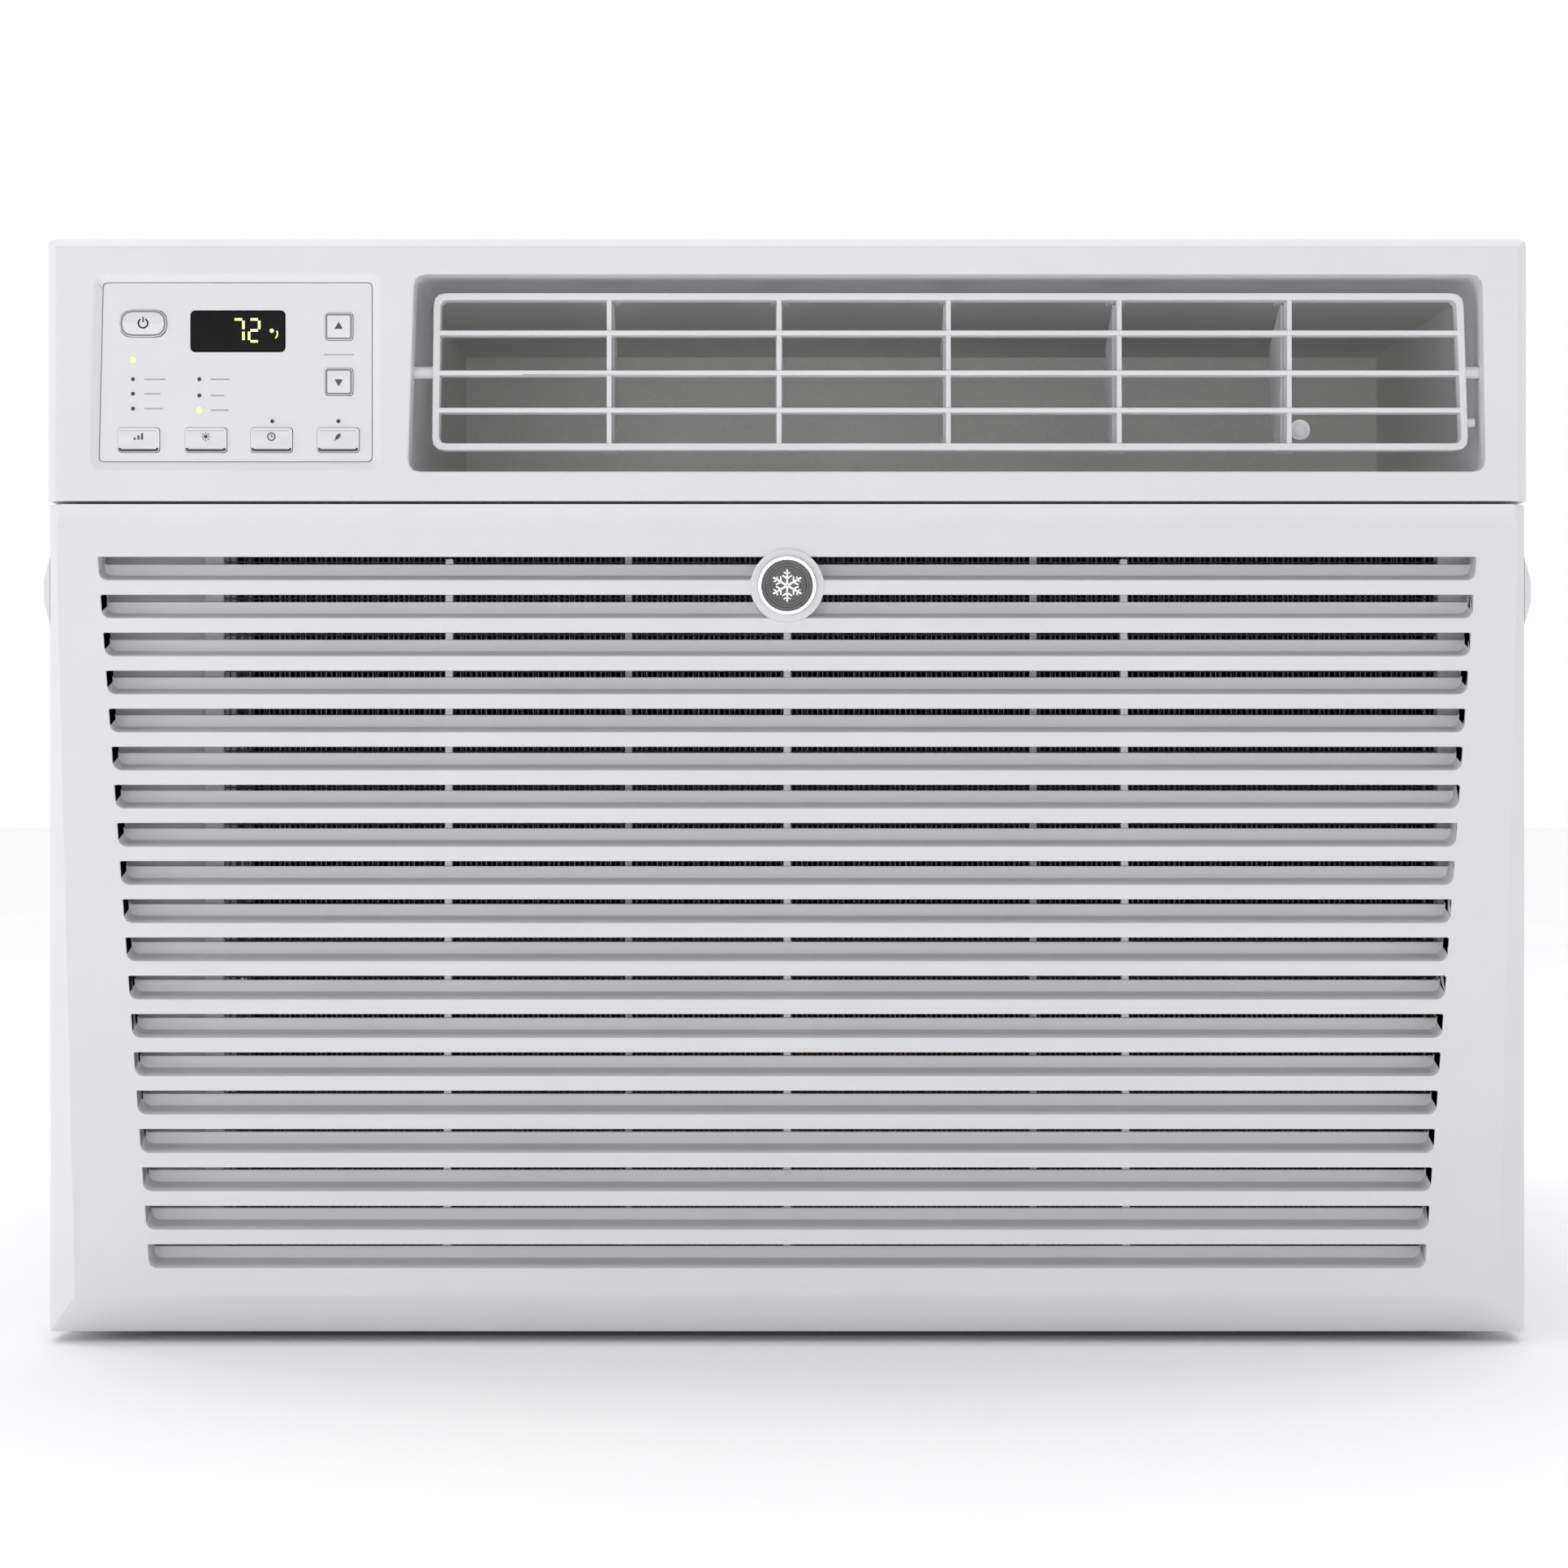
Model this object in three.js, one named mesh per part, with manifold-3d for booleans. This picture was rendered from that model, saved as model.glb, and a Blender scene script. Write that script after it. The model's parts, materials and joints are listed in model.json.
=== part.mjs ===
// A window air conditioner as an assembly of separately named sub-parts.
// Millimetres. X points right, Y to the back and Z up, so the front faces -Y and the pan stands on Z = 0.

import * as THREE from "three";
import { mergeVertices } from "three/addons/utils/BufferGeometryUtils.js";
import Module from "manifold-3d";

const wasm = await Module();
wasm.setup();

// ---------------------------------------------------------------- driving dimensions

const GAP = 0.3; // left between two pieces that touch
const HALF_WIDTH = 300; // of the front
const TOP = 448; // of the front
const SEAM = 341.5; // where the head of the bezel ends above the inlet grille
const REAR = 310; // of the rear guard
const SHELL_HALF = 290; // half the width of the steel cabinet
const SHELL_TOP = 438; // of the steel cabinet
const SHEET = 2; // steel sheet
const FLOOR = SHEET + GAP; // where a piece stands inside the base pan

const BEZEL = { front: -303.5, plate: -270, back: -240, wall: 3, bevel: 3.5, bottom: 8 };
const RETURN_AIR = { x: [-229, 269], z: [24, 337.5] };
const DISCHARGE = { z: [353.4, 433.3], footX: [-153.6, 282.9], headX: [-151, 281.6] };
const CONTROLS = { z: [354, 433.6], footX: [-282.6, -164.8], headX: [-280.9, -164.8] };
const WELL_SLOPE = 3.3; // width of the sloping edge round the controls
const HINGE = { y: -283, z: 12, x: 270, pin: 2.5, bore: 2.8, lug: 4.8, lugHalf: 3, earGap: 0.3, ear: 4 };
const TILT = { y: -292, z: 394.8, pin: 2.5, bore: 2.9 };
const GLAND = { y: -253, z: 42, bore: 7.3 };

const GRILLE = {
  top: 340.3,
  topY: -302.8,
  shoulder: 330.5,
  shoulderY: -300,
  chin: 20.5,
  chinY: -310,
  bottom: 4,
  bottomY: -297,
  back: -272,
  sillBack: -278,
  wall: 2.6,
  sideBevel: 597,
};
const SLOTS = { count: 19, top: 319.1, pitch: 15.44, height: 9.5, half: 279.9, shrink: 1.228 };
const STEP = { depth: 14, rise: 2.3, thick: 1.7, plate: 4.9 }; // behind each slot
const SLOT_RIBS = [-138.5, 0, 138];
const BADGE = { z: 307.2, boss: 15, bossFront: -301.8, ring: 12, ringInner: 10.3, disc: 10 };
const FILTER = { x: [-240, 299.6], y: [-281, -276.5], z: [20, 336], bar: 8, grip: 31.6 };
const TAB = { z: [291.4, 319.4], y: [-296, -283], bulge: 3 };

const LOUVER = { z: [362.8, 426.8], footX: [-144.7, 277.5], headX: [-144, 275.4] };
const LOUVER_Y = [-296, -288.5];
const LOUVER_BAR = 2.8;
const BLADE_HEIGHTS = [410.6, 394.3, 379.1];
const VANE_X = [-72.6, -3.3, 65.7, 135.4, 204.7];
const VANE = { pivotY: -280, pin: 1.5, bore: 1.85, linkY: -259, linkPin: 1.3, linkBore: 1.7, thick: 1.8 };
const KNOB = { x: 210.3, z: 372.1, radius: 4.3, y: [-286.6, -284.2] };

const FASCIA_Y = [-301.5, -299];
const KEY_Y = [-302.3, -296.5];
const KEYS = {
  power_key: { x: [-270.3, -251.9], z: [408.3, 418.8], corner: 5 },
  temp_up_key: { x: [-187.2, -176.4], z: [407, 417.5], corner: 1.5 },
  temp_down_key: { x: [-187.2, -176.4], z: [384.6, 395.1], corner: 1.5 },
  fan_speed_key: { x: [-271.2, -254.8], z: [361.5, 371], corner: 1.5 },
  mode_key: { x: [-243.9, -227.5], z: [361.5, 371], corner: 1.5 },
  timer_key: { x: [-217.3, -200.9], z: [361.5, 371], corner: 1.5 },
  energy_saver_key: { x: [-190.3, -173.9], z: [361.5, 371], corner: 1.5 },
};
const DISPLAY = { x: [-241.7, -203.9], z: [402.4, 418.5] };
const LEFT_LAMPS = { x: -265.3, z: [398.8, 390.9, 385, 379] };
const MODE_LAMPS = { x: -238.4, z: [390.9, 384.3, 378.4] };
const LOW_LAMPS = { x: [-208.8, -182], z: 373.9 };

const SHAFT = { x: 95, z: 205, radius: 6, bore: 6.3, y: [-170, 235] };
const SCROLL = { x: [-80, 275], y: [-190, -62], z: [FLOOR, 347.5], cavity: 125, wall: 3 };
const DUCT = { x: [-157, 286], y: [-239, -62], z: [348, 434.5], wall: 3 };
const EVAPORATOR = { x: [-228, 270], y: [-238, -196], z: [28, 330] };
const CONDENSER = { x: [-268, 280], y: [262, 296], z: [FLOOR, 425] };
const MOTOR = { y: [20, 120], radius: 57, boss: 20, bossLength: 11 };
const FAN = { y: [195, 235], radius: 159, ring: 6, hub: 35, blades: 5, pitch: 0.6 };
const COMPRESSOR = { x: -190, y: 80, radius: 75, z: [28, 310], plate: 3.4, foot: 88 };
const GROMMETS = [90, 210, 330]; // degrees round the compressor

// ---------------------------------------------------------------- shapes

function solid(geometry) {
  const bare = geometry.clone();
  bare.deleteAttribute("normal");
  bare.deleteAttribute("uv");
  const merged = mergeVertices(bare, 1e-4);
  const vertProperties = new Float32Array(merged.attributes.position.array);
  const triVerts = new Uint32Array(merged.index.array);
  return new wasm.Manifold(new wasm.Mesh({ numProp: 3, vertProperties, triVerts }));
}

const steps = (from, pitch, count) => Array.from({ length: count }, (_, i) => from + pitch * i);
const joined = (bodies) => bodies.reduce((sum, body) => sum.add(body));
const cut = (body, cutters) => cutters.reduce((left, cutter) => left.subtract(cutter), body);

function box([x0, x1], [y0, y1], [z0, z1]) {
  const geometry = new THREE.BoxGeometry(x1 - x0, y1 - y0, z1 - z0);
  return solid(geometry.translate((x0 + x1) / 2, (y0 + y1) / 2, (z0 + z1) / 2));
}

function shapeOf(outline) {
  if (outline instanceof THREE.Shape) return outline;
  return new THREE.Shape(outline.map((p) => new THREE.Vector2(...p)));
}

function extruded(outline, depth) {
  return new THREE.ExtrudeGeometry(shapeOf(outline), { depth, bevelEnabled: false, curveSegments: 3 });
}

// outline is in Y and Z
function prismX(outline, [x0, x1]) {
  const geometry = extruded(outline, x1 - x0);
  const turn = new THREE.Matrix4().makeBasis(
    new THREE.Vector3(0, 1, 0),
    new THREE.Vector3(0, 0, 1),
    new THREE.Vector3(1, 0, 0),
  );
  return solid(geometry.applyMatrix4(turn).translate(x0, 0, 0));
}

// outline is in X and Z
function prismY(outline, [y0, y1]) {
  return solid(extruded(outline, y1 - y0).rotateX(Math.PI / 2).translate(0, y1, 0));
}

// outline is in X and Y
function prismZ(outline, [z0, z1]) {
  return solid(extruded(outline, z1 - z0).translate(0, 0, z0));
}

// an outline in X and Z that narrows by inset on its way from y0 to y1
function taperY(outline, [y0, y1], inset) {
  const bevel = { bevelSize: inset, bevelThickness: y1 - y0, bevelOffset: -inset, bevelSegments: 1 };
  const options = { depth: 1, bevelEnabled: true, curveSegments: 3, ...bevel };
  return solid(new THREE.ExtrudeGeometry(shapeOf(outline), options).rotateX(Math.PI / 2).translate(0, y0, 0));
}

const ROD_TURN = { x: [0, 0, Math.PI / 2], y: [0, 0, 0], z: [Math.PI / 2, 0, 0] };

// centre holds the two other coordinates, in X, Y, Z order
function rod(axis, [a, b], radius, [from, to], sides = 24) {
  const middle = (from + to) / 2;
  const centre = { x: [middle, a, b], y: [a, middle, b], z: [a, b, middle] }[axis];
  const [rx, , rz] = ROD_TURN[axis];
  const geometry = new THREE.CylinderGeometry(radius, radius, to - from, sides);
  return solid(geometry.rotateX(rx).rotateZ(rz).translate(...centre));
}

function ring(axis, centre, outer, inner, [from, to], sides = 24) {
  const hole = rod(axis, centre, inner, [from - 1, to + 1], sides);
  return rod(axis, centre, outer, [from, to], sides).subtract(hole);
}

// a profile of radius and height, turned about a vertical axis
function turned(profile, [x, y], sides = 32) {
  const points = profile.map((p) => new THREE.Vector2(...p));
  return solid(new THREE.LatheGeometry(points, sides).rotateX(Math.PI / 2).translate(x, y, 0));
}

// a closed outline whose corners are rounded
function rounded(corners, radius) {
  const shape = new THREE.Shape();
  corners.forEach(([x, y], i) => {
    const here = new THREE.Vector2(x, y);
    const before = new THREE.Vector2(...corners.at(i - 1));
    const after = new THREE.Vector2(...corners[(i + 1) % corners.length]);
    const start = before.sub(here).setLength(radius).add(here);
    const end = after.sub(here).setLength(radius).add(here);
    if (i === 0) shape.moveTo(start.x, start.y);
    else shape.lineTo(start.x, start.y);
    shape.quadraticCurveTo(here.x, here.y, end.x, end.y);
  });
  shape.closePath();
  return shape;
}

// a window that is a little wider at its foot, grown outwards by grow
function slanted({ z, footX, headX }, grow = 0) {
  return [
    [footX[0] - grow, z[0] - grow],
    [footX[1] + grow, z[0] - grow],
    [headX[1] + grow, z[1] + grow],
    [headX[0] - grow, z[1] + grow],
  ];
}

function oblong({ x, z }, grow = 0) {
  return [
    [x[0] - grow, z[0] - grow],
    [x[1] + grow, z[0] - grow],
    [x[1] + grow, z[1] + grow],
    [x[0] - grow, z[1] + grow],
  ];
}

function pipe(stops, radius, sides = 8, steps = 40) {
  const route = new THREE.CatmullRomCurve3(stops.map((p) => new THREE.Vector3(...p)), false, "centripetal");
  const section = new THREE.Shape();
  section.absarc(0, 0, radius, 0, 2 * Math.PI);
  const options = { steps, extrudePath: route, curveSegments: sides / 2, bevelEnabled: false };
  return solid(new THREE.ExtrudeGeometry(section, options));
}

const assembly = new THREE.Group();
assembly.name = "window_air_conditioner";

function place(name, body, color, roughness = 0.5, metalness = 0) {
  const { vertProperties, triVerts } = body.getMesh();
  const geometry = new THREE.BufferGeometry();
  geometry.setAttribute("position", new THREE.BufferAttribute(vertProperties, 3));
  geometry.setIndex(new THREE.BufferAttribute(triVerts, 1));
  const mesh = new THREE.Mesh(geometry, new THREE.MeshStandardMaterial({ color, roughness, metalness }));
  mesh.name = name;
  assembly.add(mesh);
}

const WHITE = 0xdededf;
const SHADED_WHITE = 0xd2d2d4;
const KEY_GREY = 0xd8d8da;
const BLACK = 0x16171a;
const STEEL_PAINT = 0xcfd0d2;
const ZINC = 0xa9adb0;
const ALUMINIUM = 0xc4c7ca;
const COPPER = 0xb8744a;
const FOAM = 0xe9e8e4;
const LAMP = 0xe4e0b0;

// ---------------------------------------------------------------- front bezel

function bezelShell() {
  const { front, back, plate, wall, bevel, bottom } = BEZEL;
  const w = HALF_WIDTH;
  const side = [
    [back, SEAM],
    [front, SEAM],
    [front, TOP - bevel],
    [front + bevel, TOP],
    [back, TOP],
  ];
  const plan = [
    [-w, back],
    [-w, front + bevel],
    [bevel - w, front],
    [w - bevel, front],
    [w, front + bevel],
    [w, back],
  ];
  const face = rounded([[-w, SEAM - bevel], [w, SEAM - bevel], [w, TOP], [-w, TOP]], bevel);
  const bevelled = prismX(side, [-w, w]).intersect(prismZ(plan, [SEAM, TOP]));
  const head = bevelled.intersect(prismY(face, [front, back]));
  const skirt = box([-w, w], [plate, back], [bottom, SEAM + wall]);
  const inside = [wall - w, w - wall];
  return cut(head.add(skirt), [
    box(inside, [front + wall, back + 1], [SEAM + wall, TOP - wall]),
    box(inside, [plate + wall, back + 1], [bottom + wall, TOP - wall]),
    box(inside, [plate + wall + 4, back + 1], [0, bottom + wall + 1]),
    box(RETURN_AIR.x, [plate - 1, plate + wall + 1], RETURN_AIR.z),
  ]);
}

function dischargeSleeve() {
  const throughFront = [BEZEL.front - 1, BEZEL.back + 1];
  const opening = prismY(rounded(slanted(DISCHARGE), 5), throughFront);
  const sleeve = prismY(rounded(slanted(DISCHARGE, 2.5), 6), [BEZEL.front + 1, BEZEL.back]);
  const bores = [
    rod("x", [TILT.y, TILT.z], TILT.bore, [DISCHARGE.footX[0] - 5, DISCHARGE.headX[0] + 2], 20),
    rod("x", [TILT.y, TILT.z], TILT.bore, [DISCHARGE.headX[1] - 2, DISCHARGE.footX[1] + 5], 20),
  ];
  return { opening, sleeve, bores };
}

function hingeLug(x) {
  const span = [x - HINGE.lugHalf, x + HINGE.lugHalf];
  const stem = box(span, [HINGE.y, BEZEL.plate + 1], [HINGE.z - 3.5, HINGE.z + 3.5]);
  const bore = rod("x", [HINGE.y, HINGE.z], HINGE.bore, [span[0] - 1, span[1] + 1]);
  return rod("x", [HINGE.y, HINGE.z], HINGE.lug, span).add(stem).subtract(bore);
}

function frontBezel() {
  const { opening, sleeve, bores } = dischargeSleeve();
  const controlWell = taperY(rounded(slanted(CONTROLS), 5.5), [BEZEL.front, FASCIA_Y[0]], WELL_SLOPE);
  const throughWall = [BEZEL.front, BEZEL.front + BEZEL.wall + 1];
  const controlHole = prismY(rounded(slanted(CONTROLS, -WELL_SLOPE), 2), throughWall);
  const glandBore = rod("x", [GLAND.y, GLAND.z], GLAND.bore, [HALF_WIDTH - BEZEL.wall - 1, HALF_WIDTH + 1]);
  const lugs = [-HINGE.x, HINGE.x].map(hingeLug);
  const shell = cut(bezelShell().add(sleeve), [opening, ...bores, controlWell, controlHole, glandBore]);
  return joined([shell, ...lugs]);
}

// A bush in the bezel's side wall, held by a flange on each side of it.
function cordGland() {
  const centre = [GLAND.y, GLAND.z];
  const wall = [HALF_WIDTH - BEZEL.wall, HALF_WIDTH];
  const bush = rod("x", centre, GLAND.bore - GAP, [wall[0] - 2, wall[1] + 2]);
  const inner = rod("x", centre, GLAND.bore + 2, [wall[0] - GAP - 1.8, wall[0] - GAP]);
  const outer = rod("x", centre, GLAND.bore + 2, [wall[1] + GAP, wall[1] + GAP + 1.8]);
  return joined([bush, inner, outer]).subtract(rod("x", centre, 4.2, [wall[0] - 4, wall[1] + 4]));
}

// ---------------------------------------------------------------- inlet grille, its filter and trim

const faceY = (z) => {
  const { shoulder, shoulderY, chin, chinY } = GRILLE;
  return shoulderY + ((chinY - shoulderY) * (shoulder - z)) / (shoulder - chin);
};
const slotTop = (k) => SLOTS.top - SLOTS.pitch * k;
const slotHalf = (z) => SLOTS.half - (SLOTS.shrink * (SLOTS.top - z)) / SLOTS.pitch;

function grilleTray() {
  const { top, topY, shoulder, shoulderY, chin, chinY, bottom, bottomY, back, wall, sideBevel } = GRILLE;
  const heel = 10;
  const outer = [
    [back, top],
    [topY, top],
    [shoulderY, shoulder],
    [chinY, chin],
    [bottomY, bottom],
    [back - heel, bottom],
    [back, bottom + heel],
  ];
  const inner = [
    [back + 1, top - wall],
    [topY + wall, top - wall],
    [shoulderY + wall, shoulder],
    [chinY + wall, chin + 0.8],
    [bottomY + 1.3, bottom + wall],
    [back + 1, bottom + wall],
  ];
  const w = HALF_WIDTH;
  const bevelled = (side, reach) =>
    prismZ([[side * (reach - 320), -320], [side * (w + 1), w + 1 - reach], [side * (w + 1), -320]], [0, TOP]);
  const bothSides = (reach) => [bevelled(-1, reach), bevelled(1, reach)];
  const tray = cut(prismX(outer, [-w, w]), bothSides(sideBevel));
  const hollow = cut(prismX(inner, [wall - w, w - wall]), bothSides(sideBevel - wall * Math.SQRT2));
  const sill = box([wall - w, w - wall], [GRILLE.sillBack, back + 1], [bottom - 1, bottom + wall + 1]);
  return cut(tray, [hollow, sill]);
}

// A slab that follows the slope of the face between two depths behind it.
function behindFace(near, far, [z0, z1]) {
  const outline = [
    [faceY(z0) + near, z0],
    [faceY(z0) + far, z0],
    [faceY(z1) + far, z1],
    [faceY(z1) + near, z1],
  ];
  return prismX(outline, [-HALF_WIDTH, HALF_WIDTH]);
}

function slotMouth(k) {
  const top = slotTop(k);
  const foot = top - SLOTS.height;
  const outline = [
    [-slotHalf(foot), foot],
    [slotHalf(foot), foot],
    [slotHalf(top), top],
    [-slotHalf(top), top],
  ];
  return prismY(outline, [GRILLE.chinY - 5, faceY(top) + 4.5]);
}

// The step below one slot: a ledge that runs back and a plate that stands on its rear edge.
function slotStep(k) {
  const foot = slotTop(k) - SLOTS.height;
  const y = faceY(foot);
  const { depth, rise, thick, plate } = STEP;
  const plateTop = foot + rise + plate;
  const outline = [
    [y + 0.3, foot],
    [y + depth - thick, foot + rise],
    [y + depth - thick, plateTop],
    [y + depth, plateTop],
    [y + depth, foot + rise - thick],
    [y + 0.3, foot - thick],
  ];
  const half = slotHalf(foot) + 1;
  return prismX(outline, [-half, half]);
}

function slotEnds() {
  const high = SLOTS.top + 2;
  const low = slotTop(SLOTS.count - 1) - SLOTS.height - 2;
  const thick = 2.2;
  const slab = behindFace(0.5, STEP.depth + 1.6, [low, high]);
  return [-1, 1].map((side) => {
    const outline = [
      [side * slotHalf(low), low],
      [side * (slotHalf(low) + thick), low],
      [side * (slotHalf(high) + thick), high],
      [side * slotHalf(high), high],
    ];
    return prismY(outline, [-320, -270]).intersect(slab);
  });
}

function slotRibs() {
  const span = [slotTop(SLOTS.count - 1) - SLOTS.height, SLOTS.top];
  const slab = behindFace(STEP.depth - 1, STEP.depth + 4.2, span);
  return SLOT_RIBS.map((x) => box([x - 1.5, x + 1.5], [-320, -270], span).intersect(slab));
}

// Rails that the filter slides along, behind and in front of its top and bottom edges.
function filterRails() {
  const wallFace = HALF_WIDTH - GRILLE.wall;
  const reach = [-wallFace - 0.5, wallFace - 1.4];
  const behind = [FILTER.y[1] + 1, FILTER.y[1] + 3];
  const before = [FILTER.y[0] - 3, FILTER.y[0] - 0.5];
  const topSpan = [FILTER.z[1] - 2.5, GRILLE.top - GRILLE.wall + 0.5];
  const lowSpan = [FILTER.z[0] - 1, FILTER.z[0] + 3];
  const shelfSpan = [FILTER.z[0] - 2.7, FILTER.z[0] - 0.4];
  return [
    box(reach, behind, topSpan),
    box(reach, before, topSpan),
    box(reach, behind, lowSpan),
    box(reach, before, lowSpan),
    box([-wallFace - 0.5, wallFace + 0.5], [before[0], behind[1]], shelfSpan),
  ];
}

function knuckleEars(x) {
  const inner = HINGE.lugHalf + HINGE.earGap;
  return [-1, 1].map((side) => {
    const span = [x + side * inner, x + side * (inner + HINGE.ear)].sort((a, b) => a - b);
    const eye = rod("x", [HINGE.y, HINGE.z], HINGE.lug, span);
    const arm = box(span, [-297, HINGE.y], [HINGE.z - HINGE.lug, HINGE.z + HINGE.lug]);
    const root = box(span, [-297, -290], [GRILLE.bottom + 1, HINGE.z]);
    const bore = rod("x", [HINGE.y, HINGE.z], HINGE.bore, [span[0] - 1, span[1] + 1]);
    return joined([eye, arm, root]).subtract(bore);
  });
}

function inletGrille() {
  const slots = Array.from({ length: SLOTS.count }, (_, k) => k);
  const boss = rod("y", [0, BADGE.z], BADGE.boss, [BADGE.bossFront, faceY(BADGE.z) + STEP.depth], 32);
  const lugNotch = (x) => box([x - 8, x + 8], [-289, GRILLE.back + 1], [0, HINGE.z - 4]);
  const wallFace = HALF_WIDTH - GRILLE.wall;
  const filterNotch = box(
    [wallFace - 0.2, HALF_WIDTH + 1],
    [FILTER.y[0] - 0.6, GRILLE.back + 1],
    [FILTER.z[0] - 0.4, FILTER.z[1] + 0.4],
  );
  const body = joined([
    cut(grilleTray(), [...slots.map(slotMouth), lugNotch(-HINGE.x), lugNotch(HINGE.x)]),
    ...slots.map(slotStep),
    ...slotEnds(),
    ...slotRibs(),
    ...filterRails(),
    boss,
  ]);
  return joined([body.subtract(filterNotch), ...[-HINGE.x, HINGE.x].flatMap(knuckleEars)]);
}

function hingePin(side) {
  const reach = HINGE.lugHalf + HINGE.earGap + HINGE.ear + 2;
  return rod("x", [HINGE.y, HINGE.z], HINGE.pin, [side * HINGE.x - reach, side * HINGE.x + reach]);
}

function fingerTab(side) {
  const x = side * (HALF_WIDTH + GAP);
  const outline = new THREE.Shape();
  outline.moveTo(x, TAB.z[0]);
  outline.quadraticCurveTo(x + side * 2 * TAB.bulge, (TAB.z[0] + TAB.z[1]) / 2, x, TAB.z[1]);
  outline.closePath();
  return prismY(outline, TAB.y);
}

function badgeRing() {
  const { z, bossFront, ring: outer, ringInner } = BADGE;
  return ring("y", [0, z], outer, ringInner, [bossFront - 1.8, bossFront - GAP], 40);
}

function badgeDisc() {
  return rod("y", [0, BADGE.z], BADGE.disc, [BADGE.bossFront - 1.2, BADGE.bossFront - GAP], 40);
}

function filterFrame() {
  const x = [FILTER.x[0] + FILTER.bar, FILTER.x[1] - FILTER.grip];
  const z = [FILTER.z[0] + FILTER.bar, FILTER.z[1] - FILTER.bar];
  const frame = box(FILTER.x, FILTER.y, FILTER.z).subtract(box(x, [-300, -250], z));
  const bars = [1 / 3, 2 / 3].map((share) => {
    const middle = x[0] + share * (x[1] - x[0]);
    return box([middle - 1.5, middle + 1.5], [FILTER.y[0], FILTER.y[0] + 1.6], [z[0] - 1, z[1] + 1]);
  });
  return joined([frame, ...bars]);
}

function filterMesh() {
  const inset = FILTER.bar + GAP;
  const y = [FILTER.y[0] + 1.9, FILTER.y[0] + 2.7];
  const x = [FILTER.x[0] + inset, FILTER.x[1] - FILTER.grip - GAP];
  return box(x, y, [FILTER.z[0] + inset, FILTER.z[1] - inset]);
}

// ---------------------------------------------------------------- louver, vanes and their link

function vaneLug(x, z) {
  const body = box([x - 3.5, x + 3.5], [LOUVER_Y[1] - 1, VANE.pivotY + 4.5], z);
  return body.subtract(rod("z", [x, VANE.pivotY], VANE.bore, [z[0] - 1, z[1] + 1], 10));
}

function louverFrame() {
  const rim = prismY(rounded(slanted(LOUVER), 5), LOUVER_Y);
  const window = prismY(rounded(slanted(LOUVER, -LOUVER_BAR), 3), [LOUVER_Y[0] - 1, LOUVER_Y[1] + 1]);
  const across = [LOUVER.headX[0] + 1, LOUVER.headX[1] - 1];
  const upright = [LOUVER.z[0] + 1, LOUVER.z[1] - 1];
  const blades = BLADE_HEIGHTS.map((z) => box(across, LOUVER_Y, [z - 1, z + 1]));
  const ribs = VANE_X.map((x) => box([x - 1, x + 1], [LOUVER_Y[0] + 1, LOUVER_Y[1]], upright));
  const lugs = VANE_X.flatMap((x) => [vaneLug(x, [424.4, 426.4]), vaneLug(x, [363.2, 365.2])]);
  const pins = [
    rod("x", [TILT.y, TILT.z], TILT.pin, [DISCHARGE.footX[0], LOUVER.headX[0] + 1], 20),
    rod("x", [TILT.y, TILT.z], TILT.pin, [LOUVER.headX[1] - 1, DISCHARGE.footX[1] + 0.8], 20),
  ];
  const stub = rod("x", [TILT.y, TILT.z - 20.4], 1.8, [LOUVER.headX[1], LOUVER.headX[1] + 5.4], 12);
  return joined([rim.subtract(window), ...blades, ...ribs, ...lugs, ...pins, stub]);
}

function airVane(x) {
  const outline = [
    [-286.5, 365.8],
    [-272, 365.8],
    [-247, 378],
    [-247, 411.5],
    [-272, 423.8],
    [-286.5, 423.8],
  ];
  const blade = prismX(outline, [x - VANE.thick / 2, x + VANE.thick / 2]);
  const pivot = rod("z", [x, VANE.pivotY], VANE.pin, [363.5, 426.2], 8);
  const linkPin = rod("z", [x, VANE.linkY], VANE.linkPin, [365.4, 374], 8);
  return joined([blade, pivot, linkPin]);
}

function vaneLink() {
  const z = [366.5, 368.5];
  const bar = box([VANE_X[0] - 5, VANE_X.at(-1) + 5], [VANE.linkY - 3, VANE.linkY + 3], z);
  return cut(bar, VANE_X.map((x) => rod("z", [x, VANE.linkY], VANE.linkBore, [z[0] - 1, z[1] + 1], 10)));
}

function vaneKnob() {
  const disc = rod("y", [KNOB.x, KNOB.z], KNOB.radius, KNOB.y);
  const stemX = [VANE_X.at(-1) + VANE.thick / 2 + GAP, KNOB.x];
  return disc.add(box(stemX, [KNOB.y[1] - 0.5, KNOB.y[1] + 2], [KNOB.z - 1.5, KNOB.z + 1.5]));
}

// ---------------------------------------------------------------- controls

function lampPositions() {
  return [
    ...LEFT_LAMPS.z.map((z) => [LEFT_LAMPS.x, z]),
    ...MODE_LAMPS.z.map((z) => [MODE_LAMPS.x, z]),
    ...LOW_LAMPS.x.map((x) => [x, LOW_LAMPS.z]),
  ];
}

function controlFascia() {
  const clear = 0.4;
  const plate = prismY(rounded(slanted(CONTROLS, -WELL_SLOPE - clear), 2), FASCIA_Y);
  const flange = prismY(slanted(CONTROLS, -0.5), [BEZEL.front + BEZEL.wall + GAP, FASCIA_Y[1]]);
  const through = [FASCIA_Y[0] - 1, FASCIA_Y[1] + 1];
  return cut(plate.add(flange), [
    ...Object.values(KEYS).map((key) => prismY(rounded(oblong(key, clear), key.corner), through)),
    prismY(oblong(DISPLAY, clear), through),
    ...lampPositions().map((spot) => rod("y", spot, 1.6, through, 8)),
  ]);
}

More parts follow.
